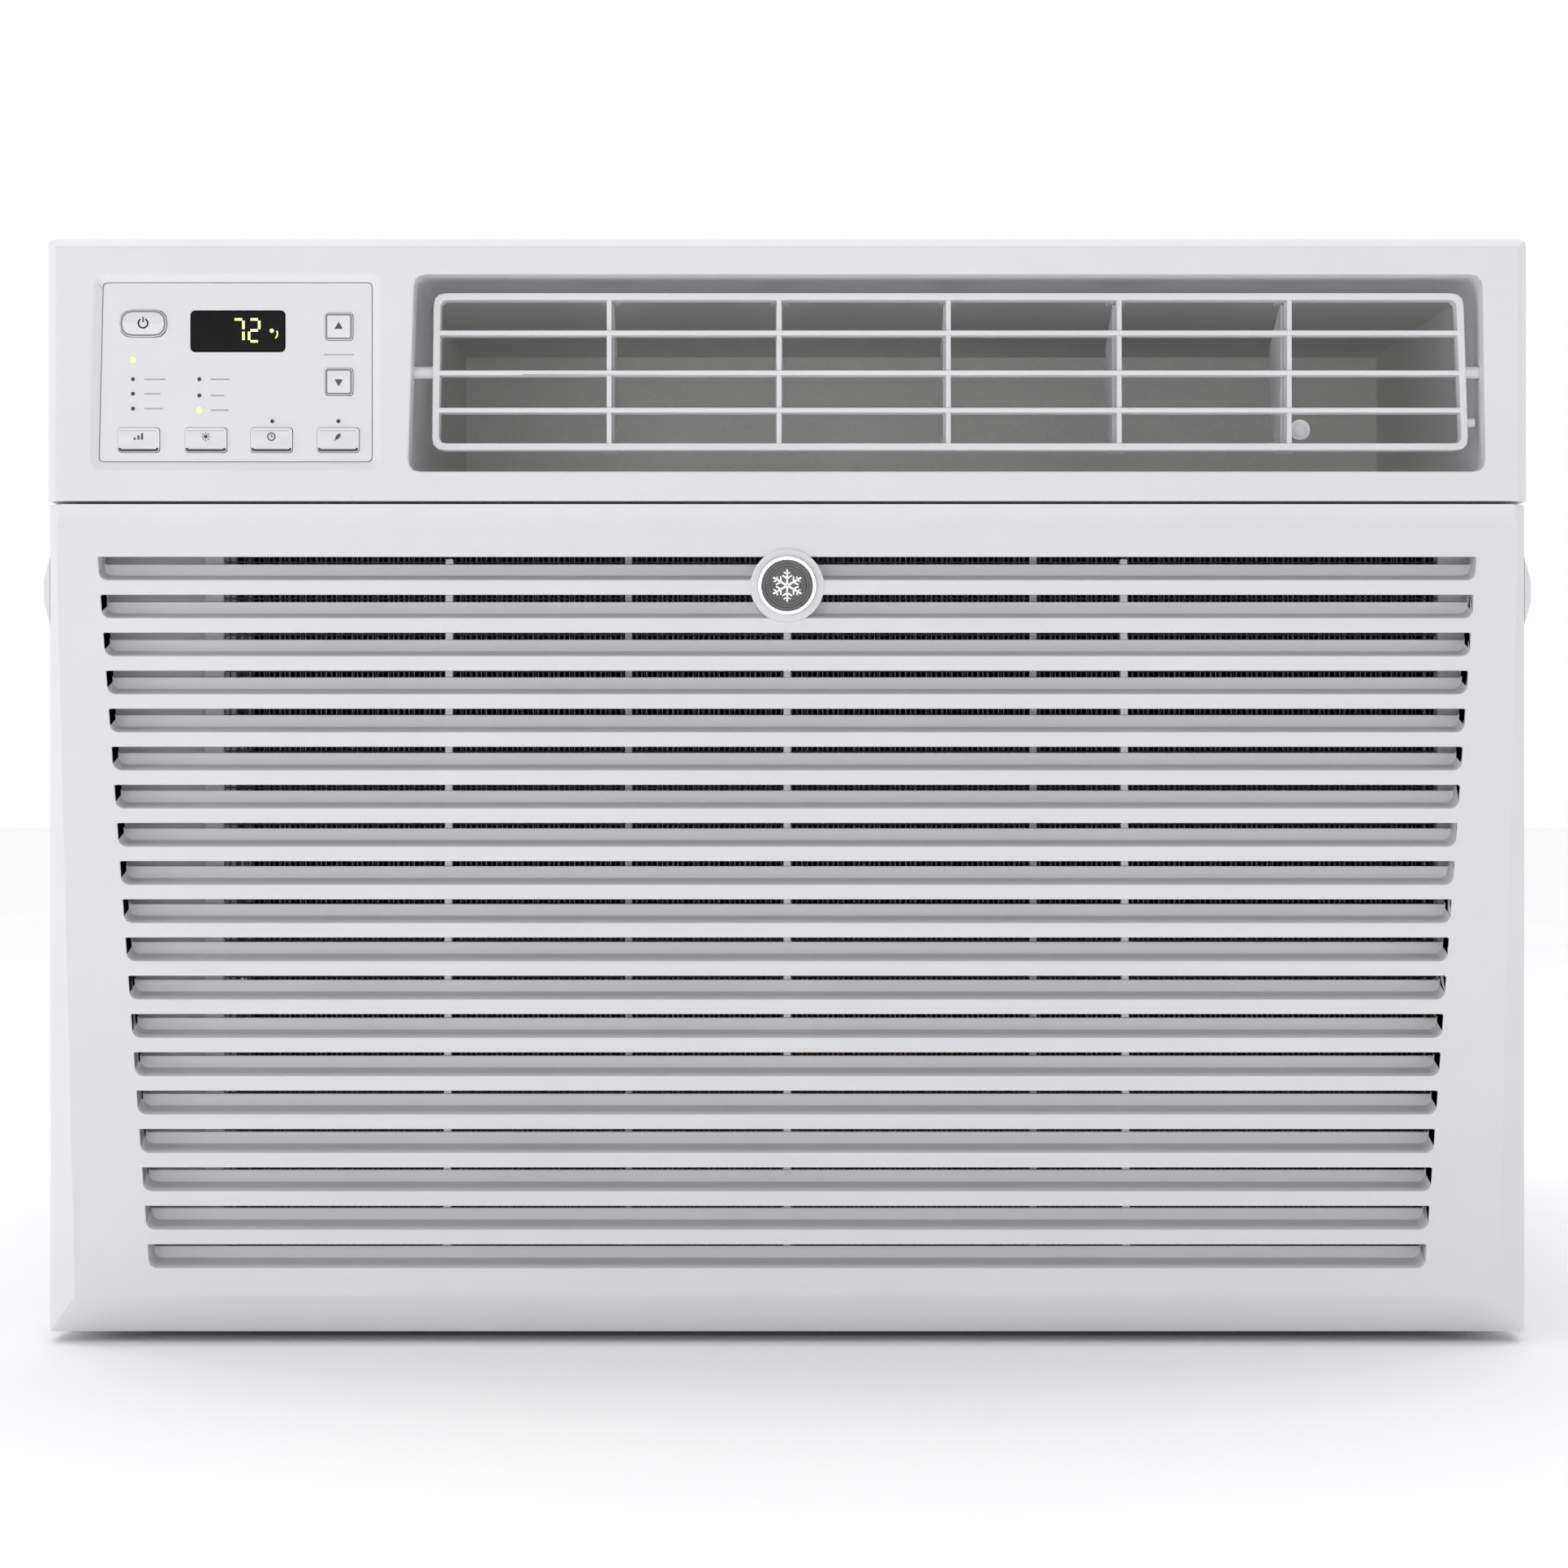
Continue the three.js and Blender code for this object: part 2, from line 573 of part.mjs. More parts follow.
function key({ x, z, corner }) {
  const cap = prismY(rounded(oblong({ x, z }), corner), KEY_Y);
  return cap.add(prismY(oblong({ x, z }, 0.6), [FASCIA_Y[1] + 0.4, KEY_Y[1]]));
}

function lightGuide() {
  const y = [FASCIA_Y[1] + 0.4, FASCIA_Y[1] + 2.6];
  const beam = box([LEFT_LAMPS.x - 1.7, LOW_LAMPS.x[1] + 1.7], y, [LOW_LAMPS.z - 1.6, LOW_LAMPS.z + 1.6]);
  const posts = [LEFT_LAMPS, MODE_LAMPS].map((lamps) =>
    box([lamps.x - 1.7, lamps.x + 1.7], y, [LOW_LAMPS.z - 1, lamps.z[0] + 1.7]),
  );
  const nibs = lampPositions().map((spot) => rod("y", spot, 1.2, [FASCIA_Y[0] - 0.1, y[0] + 0.5], 8));
  return joined([beam, ...posts, ...nibs]);
}

function controlBox() {
  const outer = { x: [-284, -166], y: [-290, -200], z: [347, 433] };
  const wall = 1.5;
  const shrink = ([a, b]) => [a + wall, b - wall];
  const inside = box(shrink(outer.x), [outer.y[0] - 1, outer.y[1] - wall], shrink(outer.z));
  return box(outer.x, outer.y, outer.z).subtract(inside);
}

// ---------------------------------------------------------------- cabinet

function basePan() {
  const half = SHELL_HALF - SHEET - 0.5;
  const y = [-262, 303];
  const pan = box([-half, half], y, [0, 28]);
  const inside = box([SHEET - half, half - SHEET], [y[0] + SHEET, y[1] - SHEET], [SHEET, 30]);
  return cut(pan, [inside, rod("z", [-150, 225], 7.3, [-1, 5])]);
}

function drainPlug() {
  const profile = [
    [0, 0.3],
    [7, 0.3],
    [7, SHEET + GAP],
    [10, SHEET + GAP],
    [9, SHEET + 4],
    [0, SHEET + 4],
  ];
  return turned(profile, [-150, 225], 24);
}

// Raked slots that feed the condenser, in the rear of each side wall and of the top.
function wrapSlots() {
  const across = [-SHELL_HALF - 1, SHELL_HALF + 1];
  const side = steps(120, 30, 9).flatMap((z) => [
    box(across, [90, 150], [z, z + 6]),
    box(across, [165, 225], [z, z + 6]),
  ]);
  const top = steps(-210, 75, 6).map((x) => box([x, x + 45], [120, 126], [SHELL_TOP - 4, SHELL_TOP + 1]));
  return [...side, ...top];
}

function cabinetWrap() {
  const y = [-246, 303];
  const outer = box([-SHELL_HALF, SHELL_HALF], y, [1, SHELL_TOP]);
  const inside = box([SHEET - SHELL_HALF, SHELL_HALF - SHEET], [y[0] - 1, y[1] + 1], [0, SHELL_TOP - SHEET]);
  return cut(outer, [inside, ...wrapSlots()]);
}

function rearGuard() {
  const y = [303.5, REAR];
  const columns = 6;
  const rows = 9;
  const bar = 4;
  const wide = 560 / columns;
  const high = 408 / rows;
  const within = (from, pitch) => [from + bar / 2, from + pitch - bar / 2];
  const windows = steps(-280, wide, columns).flatMap((x) =>
    steps(14, high, rows).map((z) => box(within(x, wide), [y[0] - 1, y[1] + 1], within(z, high))),
  );
  return cut(box([-287, 287], y, [4, 434]), windows);
}

// ---------------------------------------------------------------- indoor air side

function dischargeDuct() {
  const { x, y, z, wall } = DUCT;
  const hollow = box([x[0] + wall, x[1] - wall], [y[0] - 1, y[1] - wall], [z[0] + wall, z[1] - wall]);
  const scrollMouth = box([98, 217], [-184, -68], [z[0] - 1, z[0] + wall + 1]);
  return cut(box(x, y, z), [hollow, scrollMouth]);
}

function coil({ x, y, z }, plates) {
  const core = box(x, y, z);
  const ends = plates.map(([x0, x1]) => box([x0, x1], [y[0] + 0.5, y[1] - 0.5], [FLOOR, z[1] + 2]));
  return joined([core, ...ends]);
}

// Hairpin bends on a shared strip; side is +1 when they stand out to +X.
function returnBends(x, y, side, heights, spread) {
  const stripX = [x, x + side * 1.2].sort((a, b) => a - b);
  const strip = box(stripX, [y - 6, y + 6], [heights[0] - 8, heights.at(-1) + spread + 8]);
  const bends = heights.map((z) => {
    const stops = [
      [x + side * 0.6, y, z],
      [x + side * 4, y, z + 0.4],
      [x + side * 8.5, y, z + spread / 2],
      [x + side * 4, y, z + spread - 0.4],
      [x + side * 0.6, y, z + spread],
    ];
    return pipe(stops, 3.5, 6, 6);
  });
  return joined([strip, ...bends]);
}

function blowerInletRing() {
  const plate = box([-75, 265], [-194, -191], [35, 345]);
  return plate.subtract(rod("y", [SHAFT.x, SHAFT.z], 88, [-200, -180], 48));
}

function blowerScroll() {
  const { x, y, z, cavity, wall } = SCROLL;
  const centre = [SHAFT.x, SHAFT.z];
  const inside = [y[0] + wall, y[1] - wall];
  return cut(box(x, y, z), [
    rod("y", centre, cavity, inside, 48),
    box([SHAFT.x, SHAFT.x + cavity], inside, [SHAFT.z, z[1] + 1]),
    rod("y", centre, 100, [y[0] - 1, y[0] + wall + 1], 48),
    rod("y", centre, 15, [y[1] - wall - 1, y[1] + 1]),
  ]);
}

function blowerWheel() {
  const y = [-165, -75];
  const centre = [SHAFT.x, SHAFT.z];
  const radius = 110;
  const count = 20;
  const blades = Array.from({ length: count }, (_, i) => {
    const angle = (2 * Math.PI * i) / count;
    const blade = new THREE.BoxGeometry(18, y[1] - y[0] - 2, 1.6);
    blade.rotateY(0.55).translate(radius - 10, 0, 0).rotateY(angle);
    return solid(blade.translate(SHAFT.x, (y[0] + y[1]) / 2, SHAFT.z));
  });
  return joined([
    ring("y", centre, radius, radius - 20, [y[0], y[0] + 3], 36),
    rod("y", centre, radius, [y[1] - 3, y[1]], 36),
    rod("y", centre, 18, [y[1] - 30, y[1]]),
    ...blades,
  ]).subtract(rod("y", centre, SHAFT.bore, [y[0] - 1, y[1] + 1]));
}

// ---------------------------------------------------------------- outdoor side

function bulkhead() {
  const y = [-58, -54];
  return box([-240, 285], y, [FLOOR, 434]).subtract(rod("y", [SHAFT.x, SHAFT.z], 15, [y[0] - 1, y[1] + 1]));
}

function fanMotor() {
  const centre = [SHAFT.x, SHAFT.z];
  const boss = rod("y", centre, MOTOR.boss, [MOTOR.y[0] - MOTOR.bossLength, MOTOR.y[1] + MOTOR.bossLength]);
  const body = rod("y", centre, MOTOR.radius, MOTOR.y, 40);
  return body.add(boss).subtract(rod("y", centre, SHAFT.bore + 0.5, [0, 150]));
}

function motorBracket() {
  const y = [MOTOR.y[1] + 2, MOTOR.y[1] + 6];
  const x = [SHAFT.x - 70, SHAFT.x + 70];
  const web = box(x, y, [FLOOR, SHAFT.z + 65]);
  const foot = box(x, [y[0], y[1] + 26], [FLOOR, FLOOR + 3]);
  return web.add(foot).subtract(rod("y", [SHAFT.x, SHAFT.z], MOTOR.boss + 2, [y[0] - 1, y[1] + 1]));
}

function condenserFan() {
  const { y, radius, ring: rim, hub, blades, pitch } = FAN;
  const centre = [SHAFT.x, SHAFT.z];
  const paddles = Array.from({ length: blades }, (_, i) => {
    const paddle = new THREE.BoxGeometry(radius - rim - hub + 8, 2.4, 62);
    paddle.rotateX(pitch).translate((radius - rim + hub) / 2, 0, 0).rotateY((2 * Math.PI * i) / blades);
    return solid(paddle.translate(SHAFT.x, (y[0] + y[1]) / 2, SHAFT.z));
  });
  const disc = rod("y", centre, radius - rim / 2, y, 36);
  const body = joined([
    joined(paddles).intersect(disc),
    rod("y", centre, hub, y, 32),
    ring("y", centre, radius, radius - rim, [y[1] - 12, y[1]], 36),
  ]);
  return body.subtract(rod("y", centre, SHAFT.bore, [y[0] - 1, y[1] + 1]));
}

function fanShroud() {
  const centre = [SHAFT.x, SHAFT.z];
  const y = [238, 241];
  const plate = box([-250, 284], y, [FLOOR, 430]).add(rod("y", centre, 171, [y[0], 258], 48));
  return plate.subtract(rod("y", centre, 166, [y[0] - 1, 260], 48));
}

function compressor() {
  const { x, y, radius, z, plate } = COMPRESSOR;
  const shoulder = 30;
  const foot = z[0] + plate - 0.4;
  const dome = (from, to, count) =>
    Array.from({ length: count + 1 }, (_, i) => {
      const turn = from + ((to - from) * i) / count;
      return [radius * Math.cos(turn), shoulder * Math.sin(turn)];
    });
  const low = dome(-Math.PI / 3, 0, 3).map(([r, h]) => [r, foot + shoulder + h]);
  const high = dome(0, Math.PI / 2, 6).map(([r, h]) => [Math.max(r, 0), z[1] - shoulder + h]);
  high[high.length - 1][0] = 0;
  const shell = turned([[0, foot], [radius * 0.45, foot], ...low, ...high], [x, y], 24);
  const feet = GROMMETS.map((degrees) => {
    const reach = COMPRESSOR.foot + 14;
    const arm = new THREE.BoxGeometry(reach, 34, plate).translate(reach / 2, 0, 0);
    return solid(arm.rotateZ((degrees * Math.PI) / 180).translate(x, y, z[0] + plate / 2));
  });
  return joined([shell, ...feet]);
}

function grommet(degrees) {
  const { x, y, foot, z } = COMPRESSOR;
  const turn = (degrees * Math.PI) / 180;
  return rod("z", [x + foot * Math.cos(turn), y + foot * Math.sin(turn)], 13, [FLOOR, z[0] - GAP], 20);
}

function terminalCover() {
  const x = COMPRESSOR.x + COMPRESSOR.radius + 0.5;
  return box([x, x + 16], [COMPRESSOR.y - 15, COMPRESSOR.y + 15], [180, 232]);
}

function accumulator() {
  const profile = [
    [0, 122],
    [14, 124],
    [24, 134],
    [24, 256],
    [14, 266],
    [0, 268],
  ];
  return turned(profile, [-110, 10], 24);
}

const SUCTION_ROUTE = [
  [-110, 10, 268.6],
  [-110, 10, 305],
  [-150, -5, 328],
  [-235, -25, 332],
  [-262, -62, 332],
  [-262, -150, 326],
  [-258, -205, 306],
  [-240, -217, 300],
  [-231, -217, 300],
];
const DISCHARGE_ROUTE = [
  [-190, 80, 310.6],
  [-190, 80, 345],
  [-200, 110, 372],
  [-240, 165, 386],
  [-266, 205, 390],
  [-266, 258, 390],
];
const CAPILLARY_ROUTE = [
  [-266, 258, 60],
  [-268, 215, 62],
  [-276, 120, 70],
  [-276, 40, 70],
  [-262, -60, 62],
  [-260, -150, 60],
  [-252, -205, 60],
  [-231, -217, 60],
];

// ---------------------------------------------------------------- assembly

place("base_pan", basePan(), ZINC, 0.5, 0.7);
place("cabinet_wrap", cabinetWrap(), STEEL_PAINT, 0.5, 0.1);
place("rear_guard", rearGuard(), STEEL_PAINT, 0.5, 0.1);
place("drain_plug", drainPlug(), BLACK, 0.8);
place("front_bezel", frontBezel(), WHITE, 0.42);
place("cord_gland", cordGland(), BLACK, 0.7);
place("grille_hinge_pin_left", hingePin(-1), ZINC, 0.3, 0.9);
place("grille_hinge_pin_right", hingePin(1), ZINC, 0.3, 0.9);

place("inlet_grille", inletGrille(), WHITE, 0.42);
place("finger_tab_left", fingerTab(-1), WHITE, 0.42);
place("finger_tab_right", fingerTab(1), WHITE, 0.42);
place("badge_ring", badgeRing(), ALUMINIUM, 0.2, 0.9);
place("badge_disc", badgeDisc(), BLACK, 0.3);
place("filter_frame", filterFrame(), SHADED_WHITE, 0.6);
place("filter_mesh", filterMesh(), BLACK, 0.9);

place("louver_frame", louverFrame(), WHITE, 0.42);
VANE_X.forEach((x, i) => place(`air_vane_${i + 1}`, airVane(x), SHADED_WHITE, 0.5));
place("vane_knob", vaneKnob(), SHADED_WHITE, 0.5);
place("vane_link", vaneLink(), SHADED_WHITE, 0.5);

place("control_fascia", controlFascia(), WHITE, 0.5);
place("display_window", prismY(oblong(DISPLAY), [FASCIA_Y[0] - 0.2, FASCIA_Y[1] + 1.5]), BLACK, 0.1);
Object.entries(KEYS).forEach(([name, dims]) => place(name, key(dims), KEY_GREY, 0.5));
place("indicator_light_guide", lightGuide(), LAMP, 0.3);
place("control_board", box([-278, -168], [-294, -292.4], [357, 430]), 0x1f5f3a, 0.6);
place("control_box", controlBox(), ZINC, 0.5, 0.7);
place("run_capacitor", rod("y", [-245, 390], 22, [-285, -215], 32), ALUMINIUM, 0.35, 0.8);

place("discharge_duct", dischargeDuct(), FOAM, 0.9);
place("evaporator_coil", coil(EVAPORATOR, [[-230, -228], [270, 272]]), ALUMINIUM, 0.4, 0.8);
place("evaporator_return_bends", returnBends(272.3, -217, 1, steps(50, 54, 5), 25), COPPER, 0.35, 0.9);
place("blower_inlet_ring", blowerInletRing(), SHADED_WHITE, 0.6);
place("blower_scroll", blowerScroll(), FOAM, 0.95);
place("blower_wheel", blowerWheel(), 0x3a3d42, 0.6);
place("motor_shaft", rod("y", [SHAFT.x, SHAFT.z], SHAFT.radius, SHAFT.y), ZINC, 0.3, 0.9);
place("condenser_fan", condenserFan(), 0x3a3d42, 0.6);

place("bulkhead", bulkhead(), ZINC, 0.5, 0.7);
place("fan_motor", fanMotor(), 0x6b6f75, 0.45, 0.6);
place("motor_bracket", motorBracket(), ZINC, 0.5, 0.7);
place("fan_shroud", fanShroud(), ZINC, 0.5, 0.7);
place("condenser_coil", coil(CONDENSER, [[-270, -268], [280, 282]]), ALUMINIUM, 0.4, 0.8);
place("condenser_return_bends", returnBends(-270.3, 279, -1, steps(45, 70, 5), 25), COPPER, 0.35, 0.9);
place("compressor", compressor(), BLACK, 0.4, 0.3);
place("compressor_terminal_cover", terminalCover(), BLACK, 0.7);
place("suction_accumulator", accumulator(), COPPER, 0.35, 0.9);
GROMMETS.forEach((degrees, i) => place(`compressor_grommet_${i + 1}`, grommet(degrees), BLACK, 0.9));
place("suction_line", pipe(SUCTION_ROUTE, 6, 8, 30), COPPER, 0.35, 0.9);
place("discharge_line", pipe(DISCHARGE_ROUTE, 4, 8, 24), COPPER, 0.35, 0.9);
place("capillary_tube", pipe(CAPILLARY_ROUTE, 1.5, 6, 36), COPPER, 0.35, 0.9);

export default assembly;
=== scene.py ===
"""A window air conditioner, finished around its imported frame.

Metres, with X to the right, Y to the back and Z up. The front faces -Y and the pan stands on Z = 0.
"""

import json
import math

import bmesh
import bpy
from mathutils import Matrix, Vector


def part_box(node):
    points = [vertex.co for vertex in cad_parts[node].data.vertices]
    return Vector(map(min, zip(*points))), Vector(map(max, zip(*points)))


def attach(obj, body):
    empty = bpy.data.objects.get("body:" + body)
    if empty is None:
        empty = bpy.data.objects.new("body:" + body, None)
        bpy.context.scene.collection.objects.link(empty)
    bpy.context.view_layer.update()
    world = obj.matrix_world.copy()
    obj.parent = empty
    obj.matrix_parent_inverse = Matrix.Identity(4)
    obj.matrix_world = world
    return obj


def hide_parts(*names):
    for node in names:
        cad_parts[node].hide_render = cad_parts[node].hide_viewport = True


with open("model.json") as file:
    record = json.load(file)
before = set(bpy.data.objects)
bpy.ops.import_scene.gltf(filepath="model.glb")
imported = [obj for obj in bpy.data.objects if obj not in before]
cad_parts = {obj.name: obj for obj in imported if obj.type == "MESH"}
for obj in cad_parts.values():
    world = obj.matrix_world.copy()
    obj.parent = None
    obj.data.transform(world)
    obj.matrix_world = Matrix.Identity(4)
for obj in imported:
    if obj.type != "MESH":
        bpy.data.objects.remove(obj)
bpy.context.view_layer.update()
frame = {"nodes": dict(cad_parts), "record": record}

MM = 0.001
NODES = frame["nodes"]
BODY_OF = {n: body for body, members in frame["record"]["behaviour"]["bodies"].items() for n in members}
SLOT_OF = {n: made.data.materials[0].name for n, made in NODES.items()}

# ---------------------------------------------------------------- sizes in millimetres

SLOTS = {"count": 19, "top": 319.1, "pitch": 15.44, "height": 9.5, "half": 279.9, "shrink": 1.228}
SLOT_CORNER = 3.2
BADGE_Z = 307.2
KEY_FRONT = -302.3
FASCIA_FRONT = -301.5
DISPLAY = {"x": (-241.7, -203.9), "z": (402.4, 418.5), "front": -301.7, "corner": 1.6}
LAMP_SPOTS = {
    "dark": [(-265.3, 390.9), (-265.3, 385), (-265.3, 379), (-238.4, 390.9), (-238.4, 384.3)],
    "lit": [(-265.3, 398.8), (-238.4, 378.4)],
    "low": [(-208.8, 373.9), (-182, 373.9)],
}
FILTER_WINDOW = {"x": (-232, 268), "z": (28, 328), "y": -278.7}
NET_PITCH = 3.0
NET_WIRE = 0.55
EVAPORATOR = {"x": (-228, 270), "y": (-238, -196), "z": (28, 330)}
CONDENSER = {"x": (-268, 280), "y": (262, 296), "z": (2.3, 425)}
FIN_PITCH = 2.2
FIN_THICK = 0.35
SIDE_SLOTS = {"z": [120 + 30 * row for row in range(9)], "y": [(90, 150), (165, 225)], "height": 6}
SHELL_HALF = 290
GUARD_REAR = 310

# ---------------------------------------------------------------- camera, light and floor


def aim(thing, place, target):
    """Stands a lamp or a camera at a place and turns it to face a target."""
    thing.location = Vector(place)
    thing.rotation_mode = "QUATERNION"
    thing.rotation_quaternion = (Vector(target) - Vector(place)).to_track_quat("-Z", "Y")


EYE = (-0.0013, -1.6, 0.2268)
HALF_VIEW = math.radians(13.76)
SENSOR = 36.0

camera_data = bpy.data.cameras.new("camera")
camera_data.sensor_width = SENSOR
camera_data.lens = SENSOR / 2 / math.tan(HALF_VIEW)
camera_data.clip_start, camera_data.clip_end = 0.05, 60
camera = bpy.data.objects.new("camera", camera_data)
bpy.context.scene.collection.objects.link(camera)
aim(camera, EYE, (EYE[0], 0, EYE[2]))
bpy.context.scene.camera = camera
bpy.context.scene.view_settings.view_transform = "Standard"

# name: place, target, size of the square panel, watts
SOFT_BOXES = {
    "key_light": ((-0.5, -3.0, 0.44), (0, -0.25, 0.3), 1.4, 14),
    "fill_light": ((0.7, -3.0, 0.36), (0, -0.25, 0.3), 1.4, 4),
    "left_light": ((-2.5, -1.3, 0.6), (0, -0.3, 0.22), 1.2, 10),
    "right_light": ((2.5, -1.3, 0.6), (0, -0.3, 0.22), 1.2, 3),
    "top_light": ((-0.4, -0.2, 2.8), (0, 0, 0.2), 1.6, 8),
}
for name, (place, target, size, watts) in SOFT_BOXES.items():
    panel = bpy.data.lights.new(name, "AREA")
    panel.size = size
    panel.energy = watts
    light = bpy.data.objects.new(name, panel)
    bpy.context.scene.collection.objects.link(light)
    aim(light, place, target)

# The studio: white walls behind, a bright ceiling, and a dimmer room on the camera's side.
FRONT_WALL, BACK_WALL, CEILING = 0.12, 1.0, 1.15


def studio():
    """Walls that light the object by their direction, and that look plain white to the camera."""
    world = bpy.data.worlds.new("studio_walls")
    world.use_nodes = True
    links = world.node_tree.links

    def node(kind, **values):
        made = world.node_tree.nodes.new(kind)
        for socket, value in values.items():
            made.inputs[socket.replace("_", " ")].default_value = value
        return made

    toward = node("ShaderNodeTexCoord")
    axes = node("ShaderNodeSeparateXYZ")
    walls = node("ShaderNodeMapRange", From_Min=-0.2, From_Max=0.3, To_Min=FRONT_WALL, To_Max=BACK_WALL)
    ceiling = node("ShaderNodeMapRange", From_Min=0.5, From_Max=1.0, To_Min=0.0, To_Max=CEILING)
    total = node("ShaderNodeMath")
    rays = node("ShaderNodeLightPath")
    shown = node("ShaderNodeMapRange", To_Max=1.0)
    links.new(toward.outputs["Generated"], axes.inputs["Vector"])
    links.new(axes.outputs["Y"], walls.inputs["Value"])
    links.new(axes.outputs["Z"], ceiling.inputs["Value"])
    links.new(walls.outputs["Result"], total.inputs[0])
    links.new(ceiling.outputs["Result"], total.inputs[1])
    links.new(rays.outputs["Is Camera Ray"], shown.inputs["Value"])
    links.new(total.outputs["Value"], shown.inputs["To Min"])
    background = world.node_tree.nodes["Background"]
    background.inputs["Color"].default_value = (1, 1, 1, 1)
    links.new(shown.outputs["Result"], background.inputs["Strength"])
    bpy.context.scene.world = world


studio()

# ---------------------------------------------------------------- materials


def linear(hex_colour):
    """An sRGB hex colour as the linear numbers that a shader takes."""
    channels = [int(hex_colour[i : i + 2], 16) / 255 for i in (0, 2, 4)]
    red, green, blue = (c / 12.92 if c <= 0.04045 else ((c + 0.055) / 1.055) ** 2.4 for c in channels)
    return (red, green, blue, 1.0)


def add(made, kind, settings=None, sockets=None):
    """Adds a node to a material. A socket takes a value, or the (node, output) that feeds it."""
    node = made.node_tree.nodes.new(kind)
    for name, value in (settings or {}).items():
        setattr(node, name, value)
    for name, value in (sockets or {}).items():
        if isinstance(value, tuple) and isinstance(value[0], bpy.types.Node):
            made.node_tree.links.new(value[0].outputs[value[1]], node.inputs[name])
        else:
            node.inputs[name].default_value = value
    return node


def begun(name, **sockets):
    """A new material with numbers on its shader, and its place pattern source."""
    made = bpy.data.materials.new(name)
    made.use_nodes = True
    shader = made.node_tree.nodes["Principled BSDF"]
    for socket, value in sockets.items():
        shader.inputs[socket.replace("_", " ")].default_value = value
    place = add(made, "ShaderNodeTexCoord")
    return made, shader, (place, "Object")


def per(millimetres):
    """The scale of a pattern whose grains are this size."""
    return 1 / (millimetres * MM)


def drifting(made, place, grain, detail, stretch=(1, 1, 1), **spread):
    """A value that drifts from 0 to 1, or over the spread given, from one grain of this size to the next."""
    turned = add(made, "ShaderNodeMapping", {}, {"Vector": place, "Scale": stretch})
    sockets = {"Vector": (turned, "Vector"), "Scale": per(grain), "Detail": detail}
    noise = add(made, "ShaderNodeTexNoise", {}, sockets)
    range_of = {"Value": (noise, "Fac"), "From Min": 0.3, "From Max": 0.7}
    range_of.update({socket.replace("_", " "): value for socket, value in spread.items()})
    return add(made, "ShaderNodeMapRange", {}, range_of)


def mottled(made, shader, place, colours, grain):
    """Colour that drifts between two shades over grains of this size."""
    spread = drifting(made, place, grain, 3.0)
    shades = {0: (spread, "Result"), 6: linear(colours[0]), 7: linear(colours[1])}
    mixed = add(made, "ShaderNodeMix", {"data_type": "RGBA"}, shades)
    made.node_tree.links.new(mixed.outputs[2], shader.inputs["Base Color"])


def sheened(made, shader, place, grain, roughness, stretch=(1, 1, 1)):
    """Roughness that varies between two values over grains of this size."""
    spread = drifting(made, place, grain, 4.0, stretch, To_Min=roughness[0], To_Max=roughness[1])
    made.node_tree.links.new(spread.outputs["Result"], shader.inputs["Roughness"])


def textured(made, shader, height, depth, strength=1.0, under=None):
    """Raises the surface by a pattern, depth in millimetres."""
    sockets = {"Height": height, "Distance": depth * MM, "Strength": strength}
    if under:
        sockets["Normal"] = under
    bump = add(made, "ShaderNodeBump", {}, sockets)
    made.node_tree.links.new(bump.outputs["Normal"], shader.inputs["Normal"])
    return (bump, "Normal")


def moulded(name, colours, roughness, grain, depth, ior=1.54):
    """Injection moulded plastic: spark-eroded grain, and slow sink and flow marks under it."""
    made, shader, place = begun(name, IOR=ior)
    mottled(made, shader, place, colours, 45)
    sheened(made, shader, place, 9, roughness)
    flow = add(made, "ShaderNodeTexNoise", {}, {"Vector": place, "Scale": per(38), "Detail": 1.0})
    sunk = textured(made, shader, (flow, "Fac"), 0.25, 0.25)
    fine = add(made, "ShaderNodeTexNoise", {}, {"Vector": place, "Scale": per(grain), "Detail": 2.0})
    textured(made, shader, (fine, "Fac"), depth, 0.5, sunk)
    return made


# ABS, moulded with a fine spark-eroded face: a soft white with a faint satin sheen.
# The grain is about 0.1 mm on the real face and is drawn at 0.7 mm so that it shows.
white_abs = moulded("white_abs_spark_eroded", ("ebebed", "e8e8eb"), (0.5, 0.58), 0.7, 0.03)
# The same resin from an unpolished tool, a little flatter. Its colour is drawn a shade greyer as painted
# shade, for parts that sit behind the face.
white_abs_painted_shade = moulded("white_abs_matt_painted_shade", ("e6e6e8", "e2e2e5"), (0.5, 0.6), 0.8, 0.04)
# Key caps in polished ABS: a little glossier than the face round them.
key_abs = moulded("key_abs_satin", ("eaeaed", "e7e7ea"), (0.42, 0.5), 0.6, 0.02)
# Glass-filled nylon: dark grey with pale fibre streaks, for the fan and the blower wheel.
nylon = moulded("glass_filled_nylon", ("3a3e43", "2c2f33"), (0.5, 0.65), 1.2, 0.06, 1.53)
# Black ABS for the small covers: plain matt, so that they stay quiet.
black_cover = moulded("black_abs_matt", ("17181a", "1f2022"), (0.5, 0.6), 0.8, 0.05)


def expanded_foam():
    """Expanded polystyrene: beads about 3 mm across, pressed flat against the tool, with faint seams."""
    made, shader, place = begun("expanded_polystyrene_beads", IOR=1.5, Roughness=0.85)
    beads = add(
        made, "ShaderNodeTexVoronoi", {"feature": "DISTANCE_TO_EDGE"}, {"Vector": place, "Scale": per(3.2)}
    )
    seam = add(
        made, "ShaderNodeMapRange", {}, {"Value": (beads, "Distance"), "From Min": 0.0, "From Max": 0.06}
    )
    shades = {0: (seam, "Result"), 6: linear("eaeae8"), 7: linear("f1f1ef")}
    mixed = add(made, "ShaderNodeMix", {"data_type": "RGBA"}, shades)
    made.node_tree.links.new(mixed.outputs[2], shader.inputs["Base Color"])
    textured(made, shader, (seam, "Result"), 0.05, 0.4)
    return made


